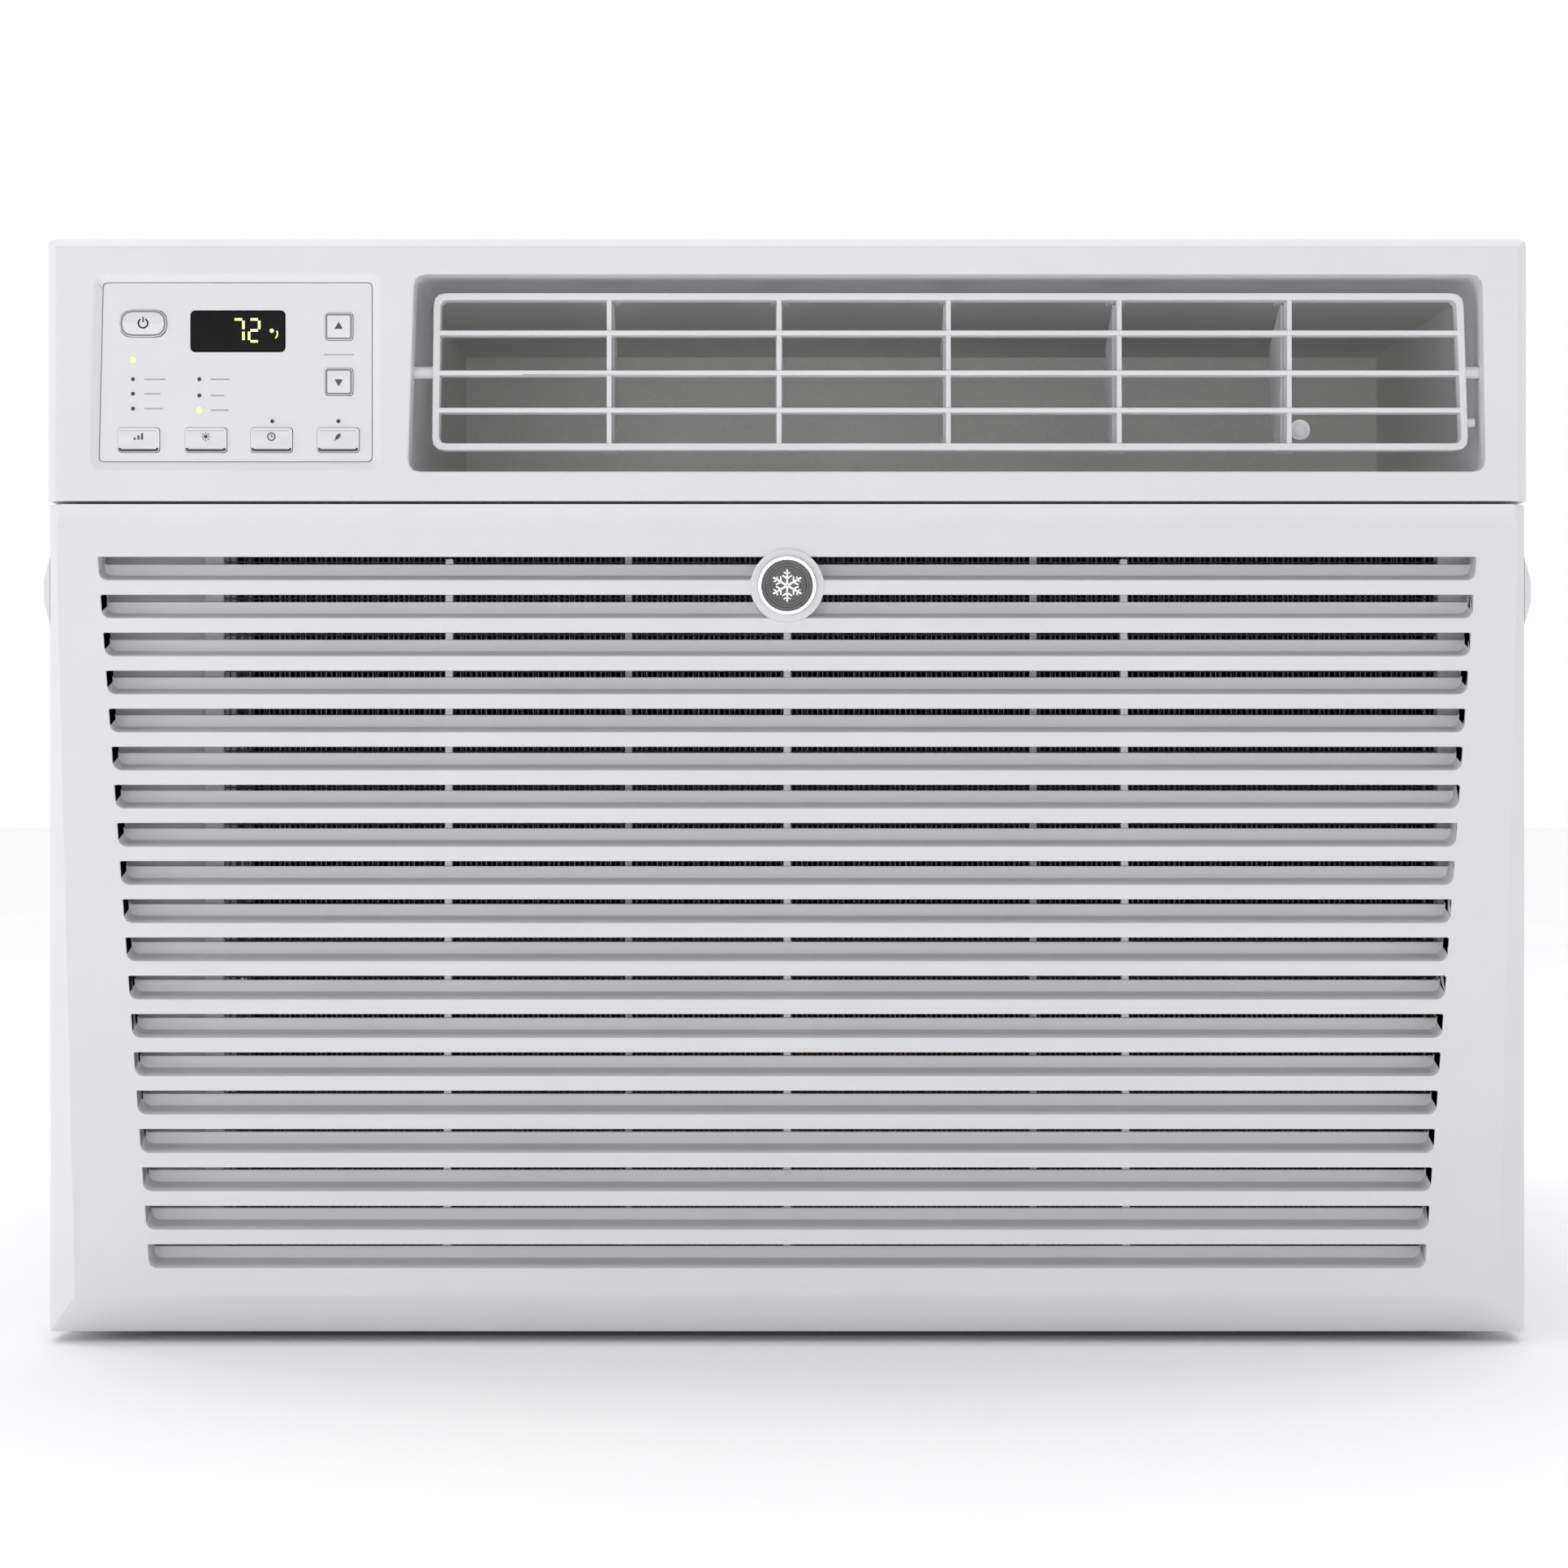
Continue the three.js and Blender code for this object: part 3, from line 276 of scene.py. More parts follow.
foam = expanded_foam()


def powder_coat():
    """Polyester powder on sheet steel: pale grey with an orange-peel skin, waves about 2 mm long."""
    made, shader, place = begun("powder_coated_steel", IOR=1.5, Coat_Weight=0.15, Coat_Roughness=0.3)
    mottled(made, shader, place, ("d3d4d6", "cdced1"), 60)
    sheened(made, shader, place, 12, (0.36, 0.46))
    peel = add(made, "ShaderNodeTexNoise", {}, {"Vector": place, "Scale": per(2.2), "Detail": 1.0})
    textured(made, shader, (peel, "Fac"), 0.08, 0.6)
    return made


painted_steel = powder_coat()


def galvanised():
    """Hot-dip zinc on sheet steel: spangles about 9 mm across, each a different grey and gloss."""
    made, shader, place = begun("galvanised_sheet_steel", Metallic=1.0)
    crystals = add(made, "ShaderNodeTexVoronoi", {"feature": "F1"}, {"Vector": place, "Scale": per(9)})
    tone = add(made, "ShaderNodeSeparateColor", {}, {"Color": (crystals, "Color")})
    shades = {0: (tone, "Red"), 6: linear("a9adb0"), 7: linear("c3c7ca")}
    mixed = add(made, "ShaderNodeMix", {"data_type": "RGBA"}, shades)
    made.node_tree.links.new(mixed.outputs[2], shader.inputs["Base Color"])
    gloss = add(made, "ShaderNodeMapRange", {}, {"Value": (tone, "Green"), "To Min": 0.32, "To Max": 0.52})
    made.node_tree.links.new(gloss.outputs["Result"], shader.inputs["Roughness"])
    scratch = add(made, "ShaderNodeTexNoise", {}, {"Vector": place, "Scale": per(1.5), "Detail": 4.0})
    textured(made, shader, (scratch, "Fac"), 0.03, 0.4)
    return made


zinc = galvanised()


def metal(name, colours, roughness, stretch, grain=1.2, blotch=20, depth=0.02):
    """Bare metal whose marks run one way: drawn, turned or brushed."""
    made, shader, place = begun(name, Metallic=1.0)
    mottled(made, shader, place, colours, blotch)
    sheened(made, shader, place, grain, roughness, stretch)
    turned = add(made, "ShaderNodeMapping", {}, {"Vector": place, "Scale": stretch})
    sockets = {"Vector": (turned, "Vector"), "Scale": per(grain), "Detail": 3.0}
    lines = add(made, "ShaderNodeTexNoise", {}, sockets)
    textured(made, shader, (lines, "Fac"), depth, 0.4)
    return made


# Plain carbon steel, turned: fine rings round the pin.
turned_steel = metal("turned_steel", ("b4b4b6", "9fa0a2"), (0.22, 0.34), (1, 0.1, 0.1))
# Zinc-plated screws: bright with a blue cast.
plated_steel = metal("zinc_plated_steel", ("c4c8cc", "aab0b6"), (0.25, 0.38), (1, 1, 1), 0.8, 6)
# Rolled aluminium foil for the fins: bright, with water marks that run down it.
fin_stock = metal("aluminium_fin_stock", ("c9ccd0", "a7abb0"), (0.3, 0.5), (1, 1, 0.12), 3.0, 26)
# Deep-drawn aluminium can: bright, with faint marks that run up its wall.
can_aluminium = metal("drawn_aluminium", ("c6c8cb", "b3b5b8"), (0.25, 0.35), (1, 1, 0.08), 1.0, 18)
# Drawn copper tube, browned in places where it was brazed.
copper = metal("drawn_copper_tube", ("c07a4e", "8a5233"), (0.25, 0.42), (1, 1, 0.3), 2.0, 14)
# Vacuum-plated chrome on ABS: near mirror.
chrome = metal("plated_chrome", ("d8d9dc", "c9cbce"), (0.08, 0.16), (1, 1, 1), 1.5, 8, 0.004)


def lacquered(name, colours, roughness, coat, peel=1.6, mirror=0.5):
    """Paint or lacquer with a clear skin over it. Mirror is how much the paint under it reflects."""
    skin_of = {"Coat_Weight": coat, "Coat_Roughness": 0.08, "Specular_IOR_Level": mirror}
    made, shader, place = begun(name, IOR=1.5, **skin_of)
    mottled(made, shader, place, colours, 18)
    sheened(made, shader, place, 7, roughness)
    skin = add(made, "ShaderNodeTexNoise", {}, {"Vector": place, "Scale": per(peel), "Detail": 1.0})
    textured(made, shader, (skin, "Fac"), 0.03, 0.4)
    return made


# Stoved enamels with a soft gloss: black on the compressor, grey on the motor.
black_enamel = lacquered("stoved_black_enamel", ("121314", "1c1d1f"), (0.3, 0.42), 0.5)
motor_enamel = lacquered("stoved_grey_enamel", ("5d6266", "4f5458"), (0.38, 0.5), 0.3)
# Back-printed acrylic over the display, and the gloss black face of the badge.
display_acrylic = lacquered("back_printed_acrylic", ("030304", "060607"), (0.3, 0.4), 0.05, 6, 0.1)
badge_lacquer = lacquered("gloss_black_lacquer", ("0c0d0f", "141517"), (0.16, 0.26), 0.7, 4)
# Smoked lamp lenses that aren't lit.
smoked_lens = lacquered("smoked_polycarbonate", ("3a3a3b", "2e2e30"), (0.18, 0.28), 0.5, 4)

# EPDM rubber: dull black with a bloom.
rubber = moulded("epdm_rubber", ("141414", "1e1e1f"), (0.7, 0.85), 1.0, 0.05, 1.5)
# Pad-printing ink, a mid grey that sits on the caps and the fascia.
grey_ink = moulded("grey_pad_print", ("8d8e92", "7f8084"), (0.5, 0.6), 0.5, 0.01, 1.5)
# Dark grey pad print for the key signs. The same colour also serves as a painted shadow along the lower edge
# of the lower keys.
dark_ink_and_painted_shadow = moulded("dark_grey_print_and_painted_shadow", ("4b4c50", "55565a"), (0.5, 0.6), 0.5, 0.01, 1.5)
pale_ink = moulded("silver_pad_print", ("b9babd", "aeafb3"), (0.45, 0.55), 0.5, 0.01, 1.5)
# Nylon monofilament: dark grey with a slight shine along the thread.
monofilament = moulded("dark_nylon_monofilament", ("26282b", "1c1e20"), (0.4, 0.55), 0.4, 0.02, 1.53)


def glowing(name, hex_colour, deep_colour, strength):
    """A lit lens whose light drifts a little over its face."""
    made, shader, place = begun(name, IOR=1.5, Roughness=0.35, Emission_Strength=strength)
    drift = add(made, "ShaderNodeTexNoise", {}, {"Vector": place, "Scale": per(1.4), "Detail": 2.0})
    shades = {0: (drift, "Fac"), 6: linear(hex_colour), 7: linear(deep_colour)}
    mixed = add(made, "ShaderNodeMix", {"data_type": "RGBA"}, shades)
    made.node_tree.links.new(mixed.outputs[2], shader.inputs["Emission Color"])
    made.node_tree.links.new(mixed.outputs[2], shader.inputs["Base Color"])
    return made


# Lit lamp lenses and display segments glow a pale yellow-green. The guide behind them is clear and warm.
lit_lens = glowing("lit_lamp_lens", "f3ecb0", "e8dc88", 0.55)
lit_segment = glowing("lit_display_segment", "dfe2a6", "d0d48c", 0.8)
light_guide = glowing("clear_polycarbonate_guide", "d8d4b0", "c9c59e", 0.15)


def board():
    """Epoxy-glass circuit board: green solder mask over tracks about 1.2 mm wide."""
    made, shader, place = begun("green_circuit_board", IOR=1.5, Roughness=0.35, Coat_Weight=0.4)
    upright = add(made, "ShaderNodeMapping", {}, {"Vector": place, "Rotation": (math.pi / 2, 0, 0)})
    tracks = add(
        made,
        "ShaderNodeTexBrick",
        {"offset": 0.37},
        {
            "Vector": (upright, "Vector"),
            "Scale": per(24),
            "Color1": linear("1f5a36"),
            "Color2": linear("1a4f2f"),
            "Mortar": linear("2f7a4c"),
            "Mortar Size": 0.03,
        },
    )
    made.node_tree.links.new(tracks.outputs["Color"], shader.inputs["Base Color"])
    textured(made, shader, (tracks, "Fac"), 0.05, 0.6)
    return made


FINISHES = {
    "white_plastic": white_abs,
    "shaded_plastic": white_abs_painted_shade,
    "key_plastic": key_abs,
    "filter_net": monofilament,
    "display_pane": display_acrylic,
    "lamp_guide": light_guide,
    "badge_black": badge_lacquer,
    "badge_chrome": chrome,
    "painted_steel": painted_steel,
    "zinc_steel": zinc,
    "bright_steel": turned_steel,
    "motor_shell": motor_enamel,
    "compressor_shell": black_enamel,
    "aluminium_fins": fin_stock,
    "aluminium_can": can_aluminium,
    "copper_tube": copper,
    "foam_white": foam,
    "fan_plastic": nylon,
    "circuit_board": board(),
    "black_rubber": rubber,
    "black_plastic": black_cover,
}

# ---------------------------------------------------------------- modelling


def only(piece):
    """Leaves edit mode and selects one object."""
    if bpy.context.mode != "OBJECT":
        bpy.ops.object.mode_set(mode="OBJECT")
    bpy.ops.object.select_all(action="DESELECT")
    piece.select_set(True)
    bpy.context.view_layer.objects.active = piece


def open_up(piece):
    """Edit mode, with nothing selected."""
    only(piece)
    bpy.ops.object.mode_set(mode="EDIT")
    bpy.ops.mesh.select_mode(type="FACE")
    bpy.ops.mesh.select_all(action="DESELECT")


def close_up():
    """Back to object mode."""
    bpy.ops.object.mode_set(mode="OBJECT")


def pick(piece, kind, wanted):
    """Selects the faces, edges or corners that pass a test, and nothing else. Returns how many."""
    bpy.ops.mesh.select_mode(type=kind)
    bpy.ops.mesh.select_all(action="DESELECT")
    mesh = bmesh.from_edit_mesh(piece.data)
    parts = {"FACE": mesh.faces, "EDGE": mesh.edges, "VERT": mesh.verts}[kind]
    chosen = [part for part in parts if wanted(part)]
    for part in chosen:
        part.select_set(True)
    mesh.select_flush_mode()
    bmesh.update_edit_mesh(piece.data)
    return len(chosen)


def faces_front(face):
    return face.normal.y < -0.9


def settle(piece):
    """Puts a piece's place into its mesh."""
    only(piece)
    bpy.ops.object.transform_apply(location=True, rotation=True, scale=True)
    return piece


def block(name, x, y, z):
    """A cube primitive between these millimetres, to be shaped further."""
    spans = [sorted(span) for span in (x, y, z)]
    centre = [(a + b) / 2 * MM for a, b in spans]
    size = [(b - a) * MM for a, b in spans]
    bpy.ops.object.select_all(action="DESELECT")
    bpy.ops.mesh.primitive_cube_add(size=1, location=centre, scale=size)
    bpy.context.object.name = name
    return settle(bpy.context.object)


ALONG = {"X": (0, math.pi / 2, 0), "Y": (math.pi / 2, 0, 0), "Z": (0, 0, 0)}


def bar(name, axis, centre, radius, length, sides=32):
    """A cylinder primitive along an axis, in millimetres, to be shaped further."""
    bpy.ops.object.select_all(action="DESELECT")
    bpy.ops.mesh.primitive_cylinder_add(
        vertices=sides,
        radius=radius * MM,
        depth=length * MM,
        location=[c * MM for c in centre],
        rotation=ALONG[axis],
    )
    bpy.context.object.name = name
    return settle(bpy.context.object)


def ease(piece, width, segments=2, angle=32):
    """Rounds every sharp edge by a width in millimetres, and keeps the flats flat in the shading."""
    only(piece)
    bevel = piece.modifiers.new("eased_edges", "BEVEL")
    bevel.width = width * MM
    bevel.segments = segments
    bevel.limit_method = "ANGLE"
    bevel.angle_limit = math.radians(angle)
    bevel.use_clamp_overlap = False
    bpy.ops.object.modifier_apply(modifier=bevel.name)
    return smooth(piece)


def ease_front(piece, depth, width, fine, segments=3):
    """Rounds the sharp edges in front of a depth by one width, and all the others by a finer one."""

    def shown(edge):
        front = max(v.co.y for v in edge.verts) < depth * MM
        return front and len(edge.link_faces) == 2 and edge.calc_face_angle() > math.radians(25)

    open_up(piece)
    pick(piece, "EDGE", shown)
    bpy.ops.mesh.bevel(offset=width * MM, segments=segments, affect="EDGES", clamp_overlap=False)
    close_up()
    return ease(piece, fine, 1)


def smooth(piece):
    """Smooth shading across curves, with the flats kept flat and the corners kept sharp."""
    only(piece)
    bpy.ops.object.shade_smooth_by_angle(angle=math.radians(40))
    weighted = piece.modifiers.new("flat_faces_lead", "WEIGHTED_NORMAL")
    weighted.keep_sharp = True
    bpy.ops.object.modifier_apply(modifier=weighted.name)
    return piece


def copied(piece, name, shift=(0, 0, 0)):
    """Another of the same piece with its own mesh, moved by millimetres."""
    twin = bpy.data.objects.new(name, piece.data.copy())
    bpy.context.scene.collection.objects.link(twin)
    twin.data.transform(Matrix.Translation(Vector(shift) * MM))
    return twin


def joined(pieces, name):
    """Makes one piece of several."""
    only(pieces[0])
    for piece in pieces[1:]:
        piece.select_set(True)
    if len(pieces) > 1:
        bpy.ops.object.join()
    whole = bpy.context.view_layer.objects.active
    whole.name = name
    return whole


def finished(piece, body, slot, finish=None):
    """Gives a piece its material, and fixes it to a body of the frame."""
    if not piece.data.materials:
        piece.data.materials.append(finish or FINISHES[slot])
    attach(piece, body)
    return piece


def merged(node, weld=0.02, **cuts):
    """A copy of a CAD node with its triangles merged and its flats made whole, ready for its detail.

    x, y and z give planes, in millimetres, through the windows in its flats, so that no face has a
    hole in it. Corners closer than weld are made one.
    """
    piece = bpy.data.objects.new(f"{node}_finished", NODES[node].data.copy())
    bpy.context.scene.collection.objects.link(piece)
    piece.data.materials.clear()
    only(piece)
    bpy.ops.mesh.customdata_custom_splitnormals_clear()
    open_up(piece)
    bpy.ops.mesh.select_all(action="SELECT")
    bpy.ops.mesh.remove_doubles(threshold=weld * MM)
    for axis, places in cuts.items():
        across = Vector([float(axis == name) for name in "xyz"])
        for place in places:
            bpy.ops.mesh.select_all(action="SELECT")
            bpy.ops.mesh.bisect(plane_co=across * place * MM, plane_no=across)
            bpy.ops.mesh.mark_seam()
    bpy.ops.mesh.select_all(action="SELECT")
    bpy.ops.mesh.dissolve_limited(angle_limit=math.radians(0.5), delimit={"SEAM"})
    close_up()
    return piece


def stands_for(piece, node):
    """Puts a finished piece in the place of a CAD node, on its body and in its material slot."""
    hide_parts(node)
    return finished(piece, BODY_OF[node], SLOT_OF[node])


def middle_of(node):
    """The x and z of a CAD node's middle, in millimetres."""
    low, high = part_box(node)
    return (low.x + high.x) / 2 / MM, (low.z + high.z) / 2 / MM


def runs_along_y(edge):
    run = edge.verts[1].co - edge.verts[0].co
    return run.length > 1e-6 and abs(run.y) > 0.95 * run.length


def round_corners(piece, spots, radius, reach=0.4, segments=4):
    """Rounds the edges that run from front to back at these (x, z) places."""

    def at_spot(edge):
        middle = (edge.verts[0].co + edge.verts[1].co) / 2 / MM
        near = any(abs(middle.x - x) < reach and abs(middle.z - z) < reach for x, z in spots)
        return near and runs_along_y(edge)

    open_up(piece)
    if pick(piece, "EDGE", at_spot):
        bpy.ops.mesh.bevel(offset=radius * MM, segments=segments, affect="EDGES", clamp_overlap=False)
    close_up()


# ---------------------------------------------------------------- front: bezel, grille and badge

bezel = merged("front_bezel", 0.25, x=(-222, 65), z=(12, 42, 394.8))
stands_for(ease_front(bezel, FASCIA_FRONT - 1, 0.7, 0.15), "front_bezel")


def slot_half(z):
    """Half the width of a grille slot at this height: the slots shorten as they go down."""
    return SLOTS["half"] - SLOTS["shrink"] * (SLOTS["top"] - z) / SLOTS["pitch"]


def grille_panel():
    """The slotted front: the lower corners of each slot are rounded before all edges are eased."""
    panel = merged("inlet_grille", x=(0,), z=(12,))
    feet = [SLOTS["top"] - SLOTS["pitch"] * k - SLOTS["height"] for k in range(SLOTS["count"])]

    def lower_corner(edge):
        middle = (edge.verts[0].co + edge.verts[1].co) / 2 / MM
        if abs(abs(middle.x) - slot_half(middle.z)) > 0.35 or middle.y > -284:
            return False
        run = edge.verts[1].co - edge.verts[0].co
        level = abs(run.y) > 0.9 * run.length and run.length > 1e-6
        return level and any(-0.3 < middle.z - foot < 2.6 for foot in feet)

    open_up(panel)
    pick(panel, "EDGE", lower_corner)
    bpy.ops.mesh.bevel(offset=SLOT_CORNER * MM, segments=4, affect="EDGES", clamp_overlap=False)
    close_up()
    return ease(panel, 0.45, 2)


stands_for(grille_panel(), "inlet_grille")
for side in ("left", "right"):
    stands_for(ease(merged(f"finger_tab_{side}"), 0.5, 3), f"finger_tab_{side}")
    stands_for(ease(merged(f"grille_hinge_pin_{side}"), 0.4, 2), f"grille_hinge_pin_{side}")


def badge_front():
    """A gloss disc with turned rings on its face."""
    disc = merged("badge_disc")
    open_up(disc)
    pick(disc, "FACE", faces_front)
    for ridge in range(4):
        bpy.ops.mesh.inset(thickness=1.1 * MM)
        step = 0.25 if ridge % 2 == 0 else -0.25
        bpy.ops.mesh.extrude_region_move(TRANSFORM_OT_translate={"value": (0, step * MM, 0)})
    close_up()
    return ease(disc, 0.12, 2, 50)


def flake():
    """A plain snow crystal: one arm with its twigs, turned six times."""
    y = (-303.15, -302.35)
    arm = block("flake_arm", (-0.42, 0.42), y, (BADGE_Z, BADGE_Z + 6.6))
    twigs = []
    for height in (2.9, 4.6):
        for lean in (-1, 1):
            twig = block("flake_twig", (-0.32, 0.32), y, (0, 2.3 if height < 4 else 1.8))
            twig.data.transform(Matrix.Rotation(math.radians(58 * lean), 4, "Y"))
            twig.data.transform(Matrix.Translation(Vector((0, 0, BADGE_Z + height)) * MM))
            twigs.append(twig)
    first = joined([arm, *twigs], "flake_arm")
    arms = [first]
    hub = Matrix.Translation(Vector((0, 0, BADGE_Z * MM)))
    for turn in range(1, 6):
        arm = copied(first, f"flake_arm_{turn}")
        arm.data.transform(hub @ Matrix.Rotation(turn * math.pi / 3, 4, "Y") @ hub.inverted())
        arms.append(arm)
    return ease(joined(arms, "badge_snow_crystal"), 0.1, 2)


stands_for(badge_front(), "badge_disc")
stands_for(ease(merged("badge_ring", x=(0,)), 0.35, 3), "badge_ring")
finished(flake(), "inlet_grille", "badge_chrome")

# ---------------------------------------------------------------- air filter

stands_for(ease(merged("filter_frame", z=(178,)), 0.5, 2), "filter_frame")


def filter_net():
    """Crossed threads, drawn at a 3 mm pitch so that they show; the real net has a pitch near 1 mm."""
    (x0, x1), (z0, z1), y = FILTER_WINDOW["x"], FILTER_WINDOW["z"], FILTER_WINDOW["y"]
    thread, margin, clear = NET_WIRE / 2, 2, 0.4
    wire_x = (x0 + margin, x0 + margin + NET_WIRE)
    wire_z = (z0 + margin, z0 + margin + NET_WIRE)
    upright = block("net_upright", wire_x, (y - thread, y + thread), (z0 + clear, z1 - clear))
    level = block("net_level", (x0 + clear, x1 - clear), (y - thread / 2, y + thread * 1.5), wire_z)
    for piece, axis, span in ((upright, 0, x1 - x0), (level, 2, z1 - z0)):
        only(piece)
        row = piece.modifiers.new("row", "ARRAY")
        row.use_relative_offset = False
        row.use_constant_offset = True
        row.constant_offset_displace = [NET_PITCH * MM if i == axis else 0 for i in range(3)]
        row.count = int((span - 2 * margin) / NET_PITCH) + 1
        bpy.ops.object.modifier_apply(modifier=row.name)
    return joined([upright, level], "filter_net_threads")


stands_for(filter_net(), "filter_mesh")


def filter_grip():
    """Ribs that the fingers hold when the filter is drawn out."""
    rib = block("grip_rib", (274, 275.4), (-282.2, -281.05), (120, 236))
    ease(rib, 0.5, 3)
    twins = [copied(rib, f"grip_rib_{n}", (4.2 * n, 0, 0)) for n in range(1, 6)]
    return joined([rib, *twins], "filter_grip_ribs")


finished(filter_grip(), "air_filter", "shaded_plastic")

# ---------------------------------------------------------------- louver and vanes

BETWEEN_VANES = [-108, -38, 31, 100.5, 170, 240]
louver = merged("louver_frame", x=BETWEEN_VANES, y=(-280,))
stands_for(ease_front(louver, -292, 0.36, 0.1), "louver_frame")
for number in range(1, 6):
    stands_for(ease(merged(f"air_vane_{number}"), 0.35, 2), f"air_vane_{number}")
stands_for(ease(merged("vane_link", y=(-259,)), 0.3, 2), "vane_link")


def knob():
    """The thumb knob, with a dished face."""
    piece = merged("vane_knob")
    open_up(piece)
    pick(piece, "FACE", lambda face: faces_front(face) and face.calc_area() > 30 * MM * MM)
    bpy.ops.mesh.inset(thickness=1.3 * MM)
    bpy.ops.mesh.extrude_region_move(TRANSFORM_OT_translate={"value": (0, 0.5 * MM, 0)})
    bpy.ops.mesh.inset(thickness=0.8 * MM)
    bpy.ops.mesh.extrude_region_move(TRANSFORM_OT_translate={"value": (0, 0.3 * MM, 0)})
    close_up()
    return ease(piece, 0.3, 2)


stands_for(knob(), "vane_knob")

# ---------------------------------------------------------------- controls

LAMP_COLUMNS = (-265.3, -238.4, -208.8, -182)
DISPLAY_CORNERS = [(x, z) for x in DISPLAY["x"] for z in DISPLAY["z"]]


def grown(piece, by):
    """Moves the outer rim of a plate outward by a little, to narrow the line round it."""
    open_up(piece)
    for axis in (0, 2):
        places = [v.co[axis] for v in bmesh.from_edit_mesh(piece.data).verts]
        for end, sign in ((min(places), -1), (max(places), 1)):
            pick(piece, "VERT", lambda vert: abs(vert.co[axis] - end) < 2.0 * MM and vert.co.y < -298.9 * MM)
            push = [0, 0, 0]
            push[axis] = sign * by * MM
            bpy.ops.transform.translate(value=push)
    close_up()


def fascia():
    plate = merged("control_fascia", x=LAMP_COLUMNS)
    x0, x1 = DISPLAY["x"]
    z0, z1 = DISPLAY["z"]
    corners = [(x, z) for x in (x0 - 0.4, x1 + 0.4) for z in (z0 - 0.4, z1 + 0.4)]
    round_corners(plate, corners, DISPLAY["corner"] + 0.3)
    grown(plate, 0.36)
    return ease(plate, 0.2, 2)


def display():
    pane = merged("display_window")
    round_corners(pane, DISPLAY_CORNERS, DISPLAY["corner"])
    return ease(pane, 0.2, 2)


stands_for(fascia(), "control_fascia")
stands_for(display(), "display_window")
stands_for(ease(merged("indicator_light_guide", x=LAMP_COLUMNS), 0.15, 1), "indicator_light_guide")


def key_cap(node, line, painted_shadow_only):
    """A key cap with a printed line all round its edge, or with a dark painted shadow only along its lower
    edge.
    """
    cap = merged(node, z=(middle_of(node)[1],))
    cap.data.materials.append(key_abs)
    cap.data.materials.append(dark_ink_and_painted_shadow if painted_shadow_only else grey_ink)
    grown(cap, 0.28)
    ease(cap, 0.3, 2)
    open_up(cap)
    pick(cap, "FACE", lambda face: face.normal.y < -0.99 and face.calc_area() > 15 * MM * MM)
    bpy.ops.mesh.inset(thickness=line * MM)
    mesh = bmesh.from_edit_mesh(cap.data)
    low = min(v.co.z for v in mesh.verts if v.co.y < (KEY_FRONT + 0.2) * MM)
    for face in mesh.faces:
        middle = face.calc_center_median()
        ring = face.normal.y < -0.99 and not face.select and middle.y < (KEY_FRONT + 0.1) * MM
        # For the lower keys only the strip along the lower edge is kept: it is painted shadow under the key,
        # not print.
        if ring and painted_shadow_only:
            ring = middle.z < low + 1.6 * MM
        if ring:
            face.material_index = 1
    bmesh.update_edit_mesh(cap.data)
    close_up()
    return cap


for node in ("power_key", "temp_up_key", "temp_down_key"):
    stands_for(key_cap(node, 0.75, False), node)
# The lower keys get a dark painted shadow under them in place of a printed outline.
for node in ("fan_speed_key", "mode_key", "timer_key", "energy_saver_key"):
    stands_for(key_cap(node, 1.0, True), node)

INK = 0.12  # thickness of a printed mark


def printed_bar(front, centre, size, turn=0.0):
    """A printed stroke on a face, turned about its middle by degrees."""
    (x, z), (wide, high) = centre, size
    mark = block("stroke", (-wide / 2, wide / 2), (front - INK, front + 0.05), (-high / 2, high / 2))
    mark.data.transform(Matrix.Rotation(math.radians(turn), 4, "Y"))
    mark.data.transform(Matrix.Translation(Vector((x, 0, z)) * MM))
    open_up(mark)
    pick(mark, "FACE", faces_front)
    bpy.ops.mesh.inset(thickness=min(size) * 0.12 * MM)
    close_up()
    return mark


def printed_arc(front, centre, radius, line, start, sweep):
    """A printed arc: a small upright face spun about the centre by degrees, from a start angle."""
    x, z = centre
    steps = max(6, int(abs(sweep) / 12))
    mark = block("arc", (radius - line / 2, radius + line / 2), (front - INK, front + 0.05), (-0.01, 0.01))
    open_up(mark)
    pick(mark, "FACE", lambda face: face.normal.z < 0.5)
    bpy.ops.mesh.delete(type="ONLY_FACE")
    bpy.ops.mesh.select_mode(type="FACE")
    bpy.ops.mesh.select_all(action="SELECT")
    bpy.ops.mesh.spin(steps=steps, angle=math.radians(sweep), center=(0, 0, 0), axis=(0, 1, 0))
    bpy.ops.mesh.select_all(action="SELECT")
    bpy.ops.mesh.delete_loose()
    bpy.ops.mesh.select_all(action="SELECT")
    bpy.ops.mesh.remove_doubles(threshold=0.005 * MM)
    bpy.ops.mesh.normals_make_consistent(inside=False)
    close_up()
    mark.data.transform(Matrix.Rotation(math.radians(start), 4, "Y"))
    mark.data.transform(Matrix.Translation(Vector((x, 0, z)) * MM))
    return mark


def printed_wedge(front, centre, radius, turn):
    """A printed triangle or dot."""
    sides = 3 if turn is not None else 20
    mark = bar("wedge", "Y", (0, front - INK / 2 + 0.02, 0), radius, INK + 0.1, sides)
    mark.data.transform(Matrix.Rotation(math.radians(turn or 0), 4, "Y"))
    mark.data.transform(Matrix.Translation(Vector((centre[0], 0, centre[1])) * MM))
    return mark


def printed(name, marks, body, ink):
    mark = joined(marks, name)
    mark.data.materials.append(ink)
    finished(mark, body, "key_plastic", ink)


power = middle_of("power_key")
printed(
    "power_mark",
    [
        printed_arc(KEY_FRONT, power, 1.9, 0.55, -60, -300),
        printed_bar(KEY_FRONT, (power[0], power[1] + 1.5), (0.55, 2.2)),
    ],
    "power_key",
    dark_ink_and_painted_shadow,
)
for name, key, turn in (("warmer_mark", "temp_up_key", 0), ("cooler_mark", "temp_down_key", 180)):
    printed(name, [printed_wedge(KEY_FRONT, middle_of(key), 1.9, turn)], key, dark_ink_and_painted_shadow)

LABEL_Z = 367.6


